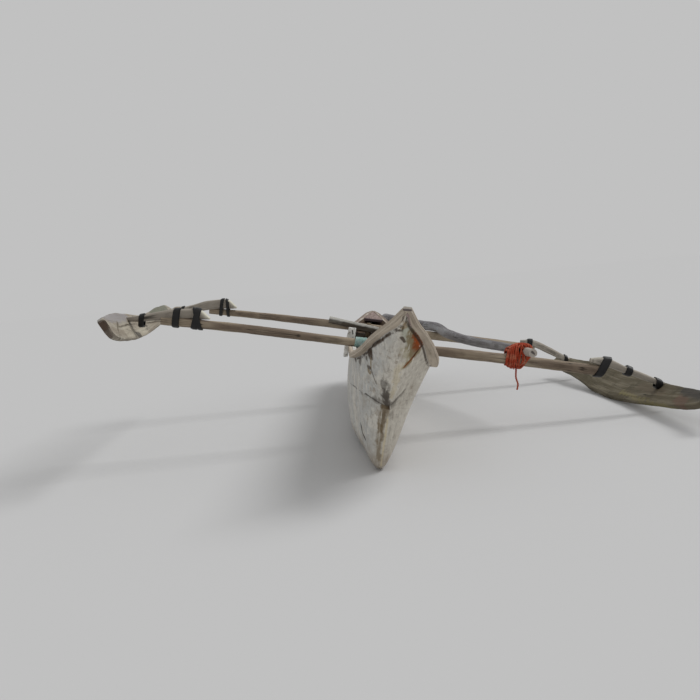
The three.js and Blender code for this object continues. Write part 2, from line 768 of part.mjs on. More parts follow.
// The free end of the spar's lashing, hanging straight down to the floor that the boat rests on
function buildTail() {
  boat.updateMatrixWorld(true);
  const start = boat.localToWorld(new THREE.Vector3(TAIL.x, TAIL.y, TAIL.z));
  const points = [0, 0.12, 0.45, 0.75, 1].map((t, i) => {
    const sway = i < 2 ? 0 : TAIL.sway * (i % 2 ? 1 : -1);
    return start.clone().add(new THREE.Vector3(sway, sway / 2, -t * TAIL.length));
  });
  const corners = Array.from({ length: TAIL.sides }, (_, k) => {
    const a = (k * 2 * Math.PI) / TAIL.sides;
    return new THREE.Vector2(TAIL.radius * Math.cos(a), TAIL.radius * Math.sin(a));
  });
  const path = new THREE.CatmullRomCurve3(points);
  const settings = { steps: TAIL.steps, extrudePath: path, bevelEnabled: false };
  const tail = new THREE.ExtrudeGeometry(new THREE.Shape(corners), settings);
  add("rope_tail", solid(tail), ORANGE_ROPE, root);
}

const LOG_NAMES = [...FRAMES_Y, 0].map((_, i) => `hull_log_${i + 1}`);

// Rest: turn the boat until its bilge and the port float touch the same floor
function restAngle() {
  const lowest = (names, angle) => {
    let low = Infinity;
    for (const name of names) {
      const p = boat.getObjectByName(name).geometry.attributes.position;
      for (let i = 0; i < p.count; i++)
        low = Math.min(low, p.getZ(i) * Math.cos(angle) - p.getX(i) * Math.sin(angle));
    }
    return low;
  };
  let [a, b] = [0, 0.5];
  for (let i = 0; i < 40; i++) {
    const middle = (a + b) / 2;
    if (lowest(LOG_NAMES, middle) < lowest(["float_port"], middle)) a = middle;
    else b = middle;
  }
  return (a + b) / 2;
}

buildHull();
buildInterior();
buildPost();
buildCrossBoard();
buildOutriggers();
buildSpar();
buildBoomLashings();

boat.rotation.y = restAngle();
root.updateMatrixWorld(true);
const box = new THREE.Box3().setFromObject(boat, true);
boat.position.set(-(box.min.x + box.max.x) / 2, -(box.min.y + box.max.y) / 2, -box.min.z);
buildTail();

export default root;
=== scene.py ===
"""A beached outrigger canoe: a limewashed dugout hull with two booms and a float plank at each side."""

import json
import logging
import math
from dataclasses import dataclass, field
from enum import Enum
from typing import Callable, Iterable, Sequence

import bmesh
import bpy
from mathutils import Matrix, Vector, noise
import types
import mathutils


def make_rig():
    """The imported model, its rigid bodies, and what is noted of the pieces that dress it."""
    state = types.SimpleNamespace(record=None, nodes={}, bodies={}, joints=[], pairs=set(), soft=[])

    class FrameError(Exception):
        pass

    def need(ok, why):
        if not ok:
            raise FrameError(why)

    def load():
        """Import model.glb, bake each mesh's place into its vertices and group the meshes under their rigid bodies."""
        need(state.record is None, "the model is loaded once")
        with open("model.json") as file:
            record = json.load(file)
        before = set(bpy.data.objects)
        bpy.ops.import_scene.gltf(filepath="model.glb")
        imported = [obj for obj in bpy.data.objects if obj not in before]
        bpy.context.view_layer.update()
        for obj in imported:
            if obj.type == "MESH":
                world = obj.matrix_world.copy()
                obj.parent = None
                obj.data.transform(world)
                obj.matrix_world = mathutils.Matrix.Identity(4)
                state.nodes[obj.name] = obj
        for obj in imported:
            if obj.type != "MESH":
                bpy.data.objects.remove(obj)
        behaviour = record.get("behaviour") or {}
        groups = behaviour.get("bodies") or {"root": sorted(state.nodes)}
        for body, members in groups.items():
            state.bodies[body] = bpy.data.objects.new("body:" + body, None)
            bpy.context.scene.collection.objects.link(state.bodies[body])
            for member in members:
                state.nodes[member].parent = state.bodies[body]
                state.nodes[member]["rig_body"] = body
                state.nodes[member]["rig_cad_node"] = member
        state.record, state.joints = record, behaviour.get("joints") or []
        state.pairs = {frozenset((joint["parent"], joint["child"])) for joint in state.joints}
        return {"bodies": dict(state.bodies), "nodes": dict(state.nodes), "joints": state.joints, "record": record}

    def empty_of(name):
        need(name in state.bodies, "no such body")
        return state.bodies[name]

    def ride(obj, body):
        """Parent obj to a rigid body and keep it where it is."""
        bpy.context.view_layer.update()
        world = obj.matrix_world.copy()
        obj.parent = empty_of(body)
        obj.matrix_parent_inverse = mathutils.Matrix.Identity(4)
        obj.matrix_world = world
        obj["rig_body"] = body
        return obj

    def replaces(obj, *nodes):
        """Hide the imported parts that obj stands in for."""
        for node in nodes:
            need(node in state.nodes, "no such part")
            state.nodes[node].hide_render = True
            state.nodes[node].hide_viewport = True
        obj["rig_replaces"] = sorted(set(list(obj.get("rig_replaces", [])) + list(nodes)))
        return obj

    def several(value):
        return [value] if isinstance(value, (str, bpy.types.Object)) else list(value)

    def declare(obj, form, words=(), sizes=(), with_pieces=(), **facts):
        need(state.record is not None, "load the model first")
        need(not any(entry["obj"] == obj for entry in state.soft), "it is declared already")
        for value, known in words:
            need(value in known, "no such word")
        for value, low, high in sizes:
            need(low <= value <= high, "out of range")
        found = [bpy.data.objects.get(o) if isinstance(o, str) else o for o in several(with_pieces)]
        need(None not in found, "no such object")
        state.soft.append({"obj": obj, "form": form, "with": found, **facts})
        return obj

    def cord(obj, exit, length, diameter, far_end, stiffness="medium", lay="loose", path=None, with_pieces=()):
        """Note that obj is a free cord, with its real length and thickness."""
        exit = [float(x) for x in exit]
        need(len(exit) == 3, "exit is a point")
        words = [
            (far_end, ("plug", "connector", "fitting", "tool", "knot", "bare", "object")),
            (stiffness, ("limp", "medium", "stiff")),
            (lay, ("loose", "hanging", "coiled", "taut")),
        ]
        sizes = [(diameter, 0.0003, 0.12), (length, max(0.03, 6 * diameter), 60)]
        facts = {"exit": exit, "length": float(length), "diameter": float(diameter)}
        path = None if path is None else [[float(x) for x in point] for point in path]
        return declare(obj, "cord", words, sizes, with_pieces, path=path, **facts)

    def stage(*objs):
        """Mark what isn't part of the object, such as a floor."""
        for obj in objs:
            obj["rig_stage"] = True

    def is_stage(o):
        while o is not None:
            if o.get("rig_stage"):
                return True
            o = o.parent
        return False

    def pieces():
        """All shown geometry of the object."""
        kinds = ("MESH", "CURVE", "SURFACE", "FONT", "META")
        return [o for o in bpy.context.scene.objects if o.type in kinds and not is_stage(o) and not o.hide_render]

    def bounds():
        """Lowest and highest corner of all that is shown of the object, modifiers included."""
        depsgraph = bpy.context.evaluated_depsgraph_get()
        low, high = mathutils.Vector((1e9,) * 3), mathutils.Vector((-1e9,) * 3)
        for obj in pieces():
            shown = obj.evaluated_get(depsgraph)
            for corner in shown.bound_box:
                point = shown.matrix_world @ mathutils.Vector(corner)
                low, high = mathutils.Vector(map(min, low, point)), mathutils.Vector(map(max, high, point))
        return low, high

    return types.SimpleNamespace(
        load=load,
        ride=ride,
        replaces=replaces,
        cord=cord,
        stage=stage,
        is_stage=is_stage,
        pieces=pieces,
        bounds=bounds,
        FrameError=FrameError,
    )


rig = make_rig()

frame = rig.load()

LOG = logging.getLogger("canoe")
MM = 0.001
Point = tuple[float, float, float]
Row = tuple[float, ...]
Ring = tuple[list[Vector], list[Point]]
Outline = Callable[[float], list[Vector]]
Socket = bpy.types.NodeSocket
Material = bpy.types.Material


class GrainFrom(Enum):
    """Where a wood finish reads the run of its grain."""

    PIECE = "the piece's own attribute"
    ALONG_X = "across the boat"
    ALONG_Y = "along the boat"


class Side(Enum):
    """The two sides of the boat, with the sign of X on each."""

    PORT = 1
    STARBOARD = -1


def wobble(x: float, y: float, z: float, size: float) -> float:
    """Smooth unevenness between -size and size at a place that is given in waves."""
    return size * noise.noise(Vector((x, y, z)))


def eased(value: float, low: float, high: float) -> float:
    """Smooth rise from 0 where the value is low to 1 where it is high."""
    t = min(1.0, max(0.0, (value - low) / (high - low)))
    return t * t * (3 - 2 * t)


def section(count: int, square: float = 1.0, turn: float = 0.0) -> list[Row]:
    """Points round a section of half-size 1.

    Args:
        count: Number of points.
        square: Power of the superellipse: 1 for a round section, near 0 for a box.
        turn: How far round the first point lies, in steps.

    Returns:
        Each point's angle, the angle's cosine and sine, and the point's two coordinates.
    """
    made = []
    for k in range(count):
        a = (k + turn) * 2 * math.pi / count
        c, s = math.cos(a), math.sin(a)
        made.append((a, c, s, math.copysign(abs(c) ** square, c), math.copysign(abs(s) ** square, s)))
    return made


def linear(colour: str, gain: float = 1.0) -> tuple[float, float, float, float]:
    """Shader colour of a hex colour.

    Args:
        colour: Six hex digits after a hash, as seen on a screen.
        gain: Factor on the light that it gives back.

    Returns:
        Red, green, blue and alpha for a shader socket.
    """
    parts = [int(colour[i : i + 2], 16) / 255 for i in (1, 3, 5)]
    made = [c / 12.92 if c <= 0.04045 else ((c + 0.055) / 1.055) ** 2.4 for c in parts]
    return (made[0] * gain, made[1] * gain, made[2] * gain, 1.0)


@dataclass(frozen=True)
class Berth:
    """How the boat lies: heeled onto its bilge and the port float."""

    heel: float = math.radians(12.075098)
    shift: Point = (-0.152003, -0.025, 0.0071126)

    def matrix(self) -> Matrix:
        """The move from the boat's own frame to the shared frame."""
        return Matrix.Translation(self.shift) @ Matrix.Rotation(self.heel, 4, "Y")

    def middle(self) -> float:
        """Where the boat's middle plane lies once the heel is turned back but not the shift."""
        return self.shift[0] * math.cos(self.heel) - self.shift[2] * math.sin(self.heel)


BERTH = Berth()


@dataclass(frozen=True)
class Table:
    """Rows of numbers whose first column rises, read along a smooth curve that never overshoots."""

    rows: tuple[Row, ...]

    def slope(self, row: int, column: int) -> float:
        """Slope of the curve through a column.

        Args:
            row: Number of the row.
            column: Number of the column.

        Returns:
            The slope there, which is 0 at a peak or a hollow.
        """
        near = [(self.rows[j], self.rows[j + 1]) for j in (row - 1, row) if 0 <= j < len(self.rows) - 1]
        before, *rest = [(b[column] - a[column]) / (b[0] - a[0]) for a, b in near]
        if not rest:
            return before
        after = rest[0]
        return 2 * before * after / (before + after) if before * after > 0 else 0.0

    def at(self, where: float) -> list[float]:
        """All the other columns at one place.

        Args:
            where: A value of the first column.

        Returns:
            The other columns there, in order.
        """
        rows = self.rows
        i = 0
        while i < len(rows) - 2 and rows[i + 1][0] <= where:
            i += 1
        span = rows[i + 1][0] - rows[i][0]
        t = min(1.0, max(0.0, (where - rows[i][0]) / span))
        made = []
        for c in range(1, len(rows[0])):
            a, b = rows[i][c], rows[i + 1][c]
            m, n = self.slope(i, c) * span, self.slope(i + 1, c) * span
            rise = (2 * t**3 - 3 * t**2 + 1) * a + (t**3 - 2 * t**2 + t) * m
            made.append(rise + (3 * t**2 - 2 * t**3) * b + (t**3 - t**2) * n)
        return made

    def places(self, step: float) -> list[float]:
        """Even places from the first row to the last.

        Args:
            step: About how far apart they are.

        Returns:
            The places in order.
        """
        low, high = self.rows[0][0], self.rows[-1][0]
        count = round((high - low) / step)
        return [low + (high - low) * k / count for k in range(count + 1)]


class Shell:
    """A skin that is drawn out ring by ring in the boat's own frame, with the grain's run kept on it."""

    def __init__(self) -> None:
        """Starts with an empty mesh."""
        self.bm = bmesh.new()
        self.grain = self.bm.verts.layers.float_vector.new("grain")
        self.first: list[bmesh.types.BMVert] = []
        self.last: list[bmesh.types.BMVert] = []

    @staticmethod
    def edges_of(ring: Sequence[bmesh.types.BMVert]) -> list[bmesh.types.BMEdge]:
        """The edge between each vertex of a ring and the next."""
        pairs = zip(ring, [*ring[1:], ring[0]])
        return [next(e for e in a.link_edges if e.other_vert(a) is b) for a, b in pairs]

    def put(self, ring: Ring) -> None:
        """Places the last ring: each vertex, and its distance along, round and into the wood in metres."""
        for vert, point, run in zip(self.last, *ring):
            vert.co, vert[self.grain] = point, run

    def start(self, ring: Ring) -> None:
        """Begins a skin from a circle that is pulled into a ring.

        Args:
            ring: The ring's points in order, and the grain's run at each.
        """
        count = len(ring[0])
        bmesh.ops.create_circle(self.bm, segments=count, radius=1.0)
        self.bm.verts.ensure_lookup_table()
        walk = [self.bm.verts[-1]]
        while len(walk) < count:
            ahead = [e.other_vert(walk[-1]) for e in walk[-1].link_edges]
            walk.append(next(v for v in ahead if v not in walk[-2:]))
        self.first = self.last = walk
        self.put(ring)

    def draw(self, ring: Ring) -> None:
        """Draws the skin out to the next ring.

        Args:
            ring: The next ring, in the first one's order.
        """
        made = bmesh.ops.extrude_edge_only(self.bm, edges=self.edges_of(self.last))["geom"]
        fresh = {v for v in made if isinstance(v, bmesh.types.BMVert)}
        twin = lambda v: next(e.other_vert(v) for e in v.link_edges if e.other_vert(v) in fresh)
        self.last = [twin(v) for v in self.last]
        self.put(ring)

    def skin(self, rings: Sequence[Ring]) -> None:
        """Draws a skin through all its rings.

        Args:
            rings: The rings in order.
        """
        self.start(rings[0])
        for ring in rings[1:]:
            self.draw(ring)

    def cap(self, soft: float = 0.0, sunk: float = 0.0) -> None:
        """Closes both ends.

        Args:
            soft: How far in a second outline is set on each end.
            sunk: How far that outline is pushed, outwards if positive.
        """
        for ring in (self.first, self.last):
            face = bmesh.ops.contextual_create(self.bm, geom=self.edges_of(ring))["faces"]
            if soft and face:
                bmesh.ops.recalc_face_normals(self.bm, faces=self.bm.faces[:])
                bmesh.ops.inset_region(self.bm, faces=face, thickness=soft, depth=sunk)

    def join_ends(self) -> None:
        """Joins the last ring to the first, for a band that closes on itself."""
        edges = [*self.edges_of(self.first), *self.edges_of(self.last)]
        bmesh.ops.bridge_loops(self.bm, edges=edges)


def link(thing: bpy.types.Object) -> None:
    """Puts an object in the scene."""
    bpy.context.scene.collection.objects.link(thing)


class Workshop:
    """Turns finished meshes into the canoe's pieces."""

    @staticmethod
    def piece(
        name: str,
        bm: bmesh.types.BMesh,
        materials: Sequence[Material],
        nodes: Sequence[str],
        crease: float = 38.0,
    ) -> bpy.types.Object:
        """Makes one piece from a mesh in the boat's own frame.

        Args:
            name: The piece's name.
            bm: Its mesh, which is used up.
            materials: Its finishes, in the order of the faces' material numbers.
            nodes: The solids that it stands for.
            crease: Edges sharper than this many degrees stay sharp.

        Returns:
            The piece's object.
        """
        bmesh.ops.remove_doubles(bm, verts=bm.verts[:], dist=1e-6)
        bmesh.ops.recalc_face_normals(bm, faces=bm.faces[:])
        bmesh.ops.transform(bm, matrix=BERTH.matrix(), verts=bm.verts[:])
        mesh = bpy.data.meshes.new(name)
        bm.to_mesh(mesh)
        bm.free()
        for material in materials:
            mesh.materials.append(material)
        mesh.shade_smooth()
        mesh.set_sharp_from_angle(angle=math.radians(crease))
        piece = bpy.data.objects.new(name, mesh)
        link(piece)
        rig.ride(piece, "root")
        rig.replaces(piece, *nodes)
        LOG.info("%s: %d faces", name, len(mesh.polygons))
        return piece

    @staticmethod
    def drawn(name: str, rings: Sequence[Ring], material: Material, node: str, *ends: float) -> None:
        """Makes a solid piece that is drawn out ring by ring.

        Args:
            name: The piece's name.
            rings: Its rings.
            material: Its finish.
            node: The solid that it stands for.
            ends: How its ends are softened, as in Shell.cap.
        """
        shell = Shell()
        shell.skin(rings)
        shell.cap(*ends)
        Workshop.piece(name, shell.bm, (material,), (node,))

    @staticmethod
    def hollow(name: str, rings: Sequence[Ring], materials: Sequence[Material], lengths: int) -> None:
        """Makes a wall that is drawn out ring by ring, with a second finish on its inner side.

        Args:
            name: The wall's name, which its solids' names start with.
            rings: Its rings, whose grain holds 1 as its third number on the inner side.
            materials: Finishes of the outside and the inside.
            lengths: Number of solids that it stands for.
        """
        shell = Shell()
        shell.skin(rings)
        shell.cap()
        for face in shell.bm.faces:
            depth = sum(v[shell.grain][2] for v in face.verts) / len(face.verts)
            face.material_index = int(depth > 0.6)
        Workshop.piece(f"{name}_skin", shell.bm, materials, [f"{name}_{i + 1}" for i in range(lengths)])


class Bench:
    """A material on the bench: its shader and the nodes that feed it."""

    def __init__(self, name: str) -> None:
        """Starts a material.

        Args:
            name: The material's name.
        """
        self.material = bpy.data.materials.new(name)
        self.material.use_nodes = True
        self.tree = self.material.node_tree
        self.shader = self.tree.nodes["Principled BSDF"]

    def feed(self, socket: Socket, value: object) -> None:
        """Sets or links an input.

        Args:
            socket: The input.
            value: A number, colour or vector, or the output that feeds it.
        """
        if isinstance(value, Socket):
            self.tree.links.new(value, socket)
        else:
            socket.default_value = value

    def node(self, kind: str, inputs: dict, **settings: object) -> bpy.types.Node:
        """Adds a node.

        Args:
            kind: The node's type after its ShaderNode prefix.
            inputs: Value or output for each input, by name or number.
            settings: The node's own settings.

        Returns:
            The new node.
        """
        made = self.tree.nodes.new(f"ShaderNode{kind}")
        for key, value in settings.items():
            setattr(made, key, value)
        for socket, value in inputs.items():
            self.feed(made.inputs[socket], value)
        return made

    def place(self) -> Socket:
        """The place in the shared frame."""
        return self.node("TexCoord", {}).outputs["Object"]

    def split(self, vector: Socket) -> Sequence[Socket]:
        """The three coordinates of a vector."""
        return self.node("SeparateXYZ", {0: vector}).outputs

    def aboard(self) -> Socket:
        """The place in the boat's own frame, but for the shift."""
        turned = {"Vector": self.place(), "Rotation": (0.0, -BERTH.heel, 0.0)}
        return self.node("Mapping", turned).outputs[0]

    def run(self, source: GrainFrom) -> Socket:
        """The grain's own coordinates, with the first along the grain.

        Args:
            source: Where the grain's run is read.

        Returns:
            A vector output.
        """
        if source is GrainFrom.PIECE:
            return self.node("Attribute", {}, attribute_name="grain").outputs["Vector"]
        if source is GrainFrom.ALONG_X:
            return self.place()
        split = self.split(self.place())
        return self.node("CombineXYZ", {0: split[1], 1: split[0], 2: split[2]}).outputs[0]

    def scaled(self, vector: Socket, scale: Point, shift: Point = (0, 0, 0)) -> Socket:
        """Coordinates stretched to some waves per metre along each axis and shifted by some waves."""
        return self.node("Mapping", {"Vector": vector, "Scale": scale, "Location": shift}).outputs[0]

    def noise(self, vector: Socket, scale: float = 1.0, detail: float = 3.0, rough: float = 0.55) -> Socket:
        """Cloudy pattern from 0 to 1, mostly near one half, with some finer layers and their strength."""
        inputs = {"Vector": vector, "Scale": scale, "Detail": detail, "Roughness": rough}
        return self.node("TexNoise", inputs).outputs[0]

    def cells(self, vector: Socket, scale: float = 1.0) -> Socket:
        """Distance to the nearest of many scattered points."""
        return self.node("TexVoronoi", {"Vector": vector, "Scale": scale}).outputs["Distance"]

    def vector(self, operation: str, inputs: dict, output: str = "Vector") -> Socket:
        """Result of one of Blender's vector math operations."""
        return self.node("VectorMath", inputs, operation=operation).outputs[output]

    def math(self, operation: str, a: object, b: object = 0.0, clamp: bool = False) -> Socket:
        """Result of one of Blender's math operations on one or two values, held from 0 to 1 if clamped."""
        return self.node("Math", {0: a, 1: b}, operation=operation, use_clamp=clamp).outputs[0]

    def step(self, value: Socket, low: float, high: float) -> Socket:
        """Soft step from 0 to 1.

        Args:
            value: The value to place.
            low: Where the result is 0.
            high: Where the result is 1, above or below low.

        Returns:
            The step.
        """
        (a, start), (b, end) = sorted(((low, 0.0), (high, 1.0)))
        inputs = {"Value": value, "From Min": a, "From Max": b, "To Min": start, "To Max": end}
        return self.node("MapRange", inputs, interpolation_type="SMOOTHSTEP").outputs[0]

    def mix(self, a: object, b: object, share: object) -> Socket:
        """Blends a colour with as much of a second one as share says."""
        return self.node("Mix", {0: share, 6: a, 7: b}, data_type="RGBA").outputs[2]

    def over(self, colour: Socket, hue: str, share: Socket, strength: float, gain: float = 1.0) -> Socket:
        """Lays a hex colour, with a gain on its light, over another by share times strength."""
        return self.mix(colour, linear(hue, gain), self.math("MULTIPLY", share, strength))

    def grown(self, value: Socket, amount: float, least: float) -> Socket:
        """A value times an amount, on top of the least result."""
        return self.math("ADD", self.math("MULTIPLY", value, amount), least)

    def ragged(self, value: Socket, pattern: Socket, size: float) -> Socket:
        """A value that a pattern round one half shakes."""
        return self.math("ADD", value, self.math("MULTIPLY", self.math("SUBTRACT", pattern, 0.5), size))

    def bump(self, height: Socket, depth: float, under: object = None) -> Socket:
        """Fine relief.

        Args:
            height: Relief from 0 to 1.
            depth: Its depth in metres.
            under: Normal of the relief below, if any.

        Returns:
            The normal.
        """
        inputs = {"Height": height, "Distance": depth, "Strength": 1.0}
        if under is not None:
            inputs["Normal"] = under
        return self.node("Bump", inputs).outputs[0]

    def cracks(self, run: Socket, scale: Point, width: float) -> Socket:
        """Thin lines along the grain, 1 in the middle, from waves per metre and their share of one."""
        wave = self.noise(self.scaled(run, scale, (3.1, 1.7, 0.4)), detail=2.0)
        return self.step(self.math("ABSOLUTE", self.math("SUBTRACT", wave, 0.5)), width, 0.0)

    def near_line(self, place: Socket, start: Vector, end: Vector, wide: float, narrow: float) -> Socket:
        """Distance to a straight line that tapers.

        Args:
            place: The place to measure from.
            start: One end, in the shared frame.
            end: The other end.
            wide: The line's half-width at its start, in metres.
            narrow: Its half-width at its end.

        Returns:
            The distance as a share of the half-width there.
        """
        reach = end - start
        away = self.vector("SUBTRACT", {0: place, 1: start})
        along = self.vector("DOT_PRODUCT", {0: away, 1: reach / max(1e-9, reach.length_squared)}, "Value")
        held = self.math("ADD", along, 0.0, clamp=True)
        foot = self.vector("SCALE", {0: reach, "Scale": held})
        gap = self.vector("LENGTH", {0: self.vector("SUBTRACT", {0: away, 1: foot})}, "Value")
        return self.math("DIVIDE", gap, self.grown(held, narrow - wide, wide))

    def dress(self, colour: object, rough: object, specular: float) -> None:
        """Sets the shader.

        Args:
            colour: Base colour.
            rough: Roughness.
            specular: Strength of the plain reflection.
        """
        values = {"Base Color": colour, "Roughness": rough, "Specular IOR Level": specular}
        for name, value in values.items():
            self.feed(self.shader.inputs[name], value)

    def finish(self, colour: object, rough: object, normal: Socket, specular: float = 0.3) -> Material:
        """Sets the shader and its relief.

        Args:
            colour: Base colour.
            rough: Roughness.
            normal: Normal output.
            specular: Strength of the plain reflection.

        Returns:
            The finished material.
        """
        self.dress(colour, rough, specular)
        self.feed(self.shader.inputs["Normal"], normal)
        return self.material


@dataclass(frozen=True)
class Mark:
    """A stain, drip, scar, painted shadow or painted highlight along a line between two points of the boat's own
    frame, all in millimetres.
    """

    start: Point
    end: Point
    wide: float
    narrow: float
    colour: str
    strength: float = 0.8
    crisp: bool = False

    def ends(self) -> tuple[Vector, Vector]:
        """Both ends in the shared frame."""
        return BERTH.matrix() @ (Vector(self.start) * MM), BERTH.matrix() @ (Vector(self.end) * MM)


def trail(points: Sequence[Point], width: float, colour: str, strength: float) -> tuple[Mark, ...]:
    """A crisp line through several points: one mark for each stretch, with width as its half-width."""
    pairs = zip(points, points[1:])
    return tuple(Mark(a, b, width, width, colour, strength, True) for a, b in pairs)


@dataclass(frozen=True)
class StainsAndPaintedLight:
    """Marks that lie over a finish, stains as well as painted shade and painted highlights, ragged at their edges and
    soaked along the grain.
    """

    marks: tuple[Mark, ...] = ()
    ragged: float = 0.055
    calm: float = 0.012

    def lay(self, bench: Bench, place: Socket, fibre: Socket, colour: Socket) -> Socket:
        """Lays the marks over a colour.

        Args:
            bench: The material's bench.
            place: The place in the shared frame.
            fibre: The fine grain, which the marks soak along.
            colour: The colour so far.

        Returns:
            The colour with every mark.
        """
        if not self.marks:
            return colour
        stir = bench.node("TexNoise", {"Vector": place, "Scale": 24.0, "Detail": 4.0}).outputs["Color"]
        centred = bench.vector("SUBTRACT", {0: stir, 1: (0.5, 0.5, 0.5)})
        moved = {}
        for crisp, size in ((False, self.ragged), (True, self.calm)):
            shaken = bench.vector("SCALE", {0: centred, "Scale": size})
            moved[crisp] = bench.vector("ADD", {0: place, 1: shaken})
        soak = bench.step(fibre, 0.3, 0.45)
        for mark in self.marks:
            far = bench.near_line(moved[mark.crisp], *mark.ends(), mark.wide * MM, mark.narrow * MM)
            spread = bench.step(far, 1.5, 0.6)
            share = spread if mark.crisp else bench.math("MULTIPLY", spread, soak)
            colour = bench.over(colour, mark.colour, share, mark.strength)
        return colour


@dataclass(frozen=True)
class Wood:
    """Bare wood that sun and sea have greyed: grain, cracks, knots, pale worn ridges and dark dirt."""

    name: str
    shades: tuple[str, str, str]
    crack: float = 0.018
    dirt: float = 0.35
    stains: StainsAndPaintedLight = StainsAndPaintedLight()
    source: GrainFrom = GrainFrom.PIECE
    aft: str = ""
    fine: float = 160.0
    stretch: float = 5.0
    relief: float = 0.0012

    def make(self) -> Material:
        """Builds the node material.

        Returns:
            The material.
        """
        bench = Bench(self.name)
        pale, middle, dark = self.shades
        run, place = bench.run(self.source), bench.place()
        fibre = bench.noise(bench.scaled(run, (self.stretch, self.fine, self.fine)), detail=4.0, rough=0.65)
        broad = bench.noise(bench.scaled(run, (1.6, 26.0, 26.0)), detail=4.0)
        cloud = bench.noise(place, 7.0, 5.0, 0.65)
        crack = bench.cracks(run, (0.45, 30.0, 30.0), self.crack)
        knots = bench.step(bench.cells(bench.scaled(run, (2.2, 11.0, 11.0))), 0.16, 0.05)
        colour = bench.mix(linear(middle), linear(pale), bench.step(broad, 0.42, 0.62))
        colour = bench.over(colour, dark, bench.step(fibre, 0.5, 0.3), 0.6)
        colour = bench.over(colour, pale, bench.step(fibre, 0.55, 0.75), 0.5)
        colour = bench.over(colour, dark, bench.step(cloud, 0.52, 0.72), self.dirt)
        colour = bench.over(colour, dark, knots, 0.7, 0.6)
        colour = bench.over(colour, dark, crack, 0.85, 0.3)
        # darker towards the stern: painted shade of the backlit stern
        if self.aft:
            colour = bench.over(colour, self.aft, bench.step(bench.split(place)[1], 1.2, 2.0), 0.8)
        colour = self.stains.lay(bench, place, fibre, colour)
        normal = bench.bump(bench.math("SUBTRACT", fibre, crack), self.relief, bench.bump(broad, 0.003))
        return bench.finish(colour, bench.grown(cloud, 0.25, 0.62), normal)


ORANGE, RUST, UMBER = "#84400c", "#4e2b15", "#3f2f20"
# The pale cream on the stem is a painted highlight: the stem's lit port face and ridge.
BLOT, SOOT, GREEN, EARTH, STEM_HIGHLIGHT = "#45403a", "#5d564f", "#97a18c", "#857353", "#d3c6a8"
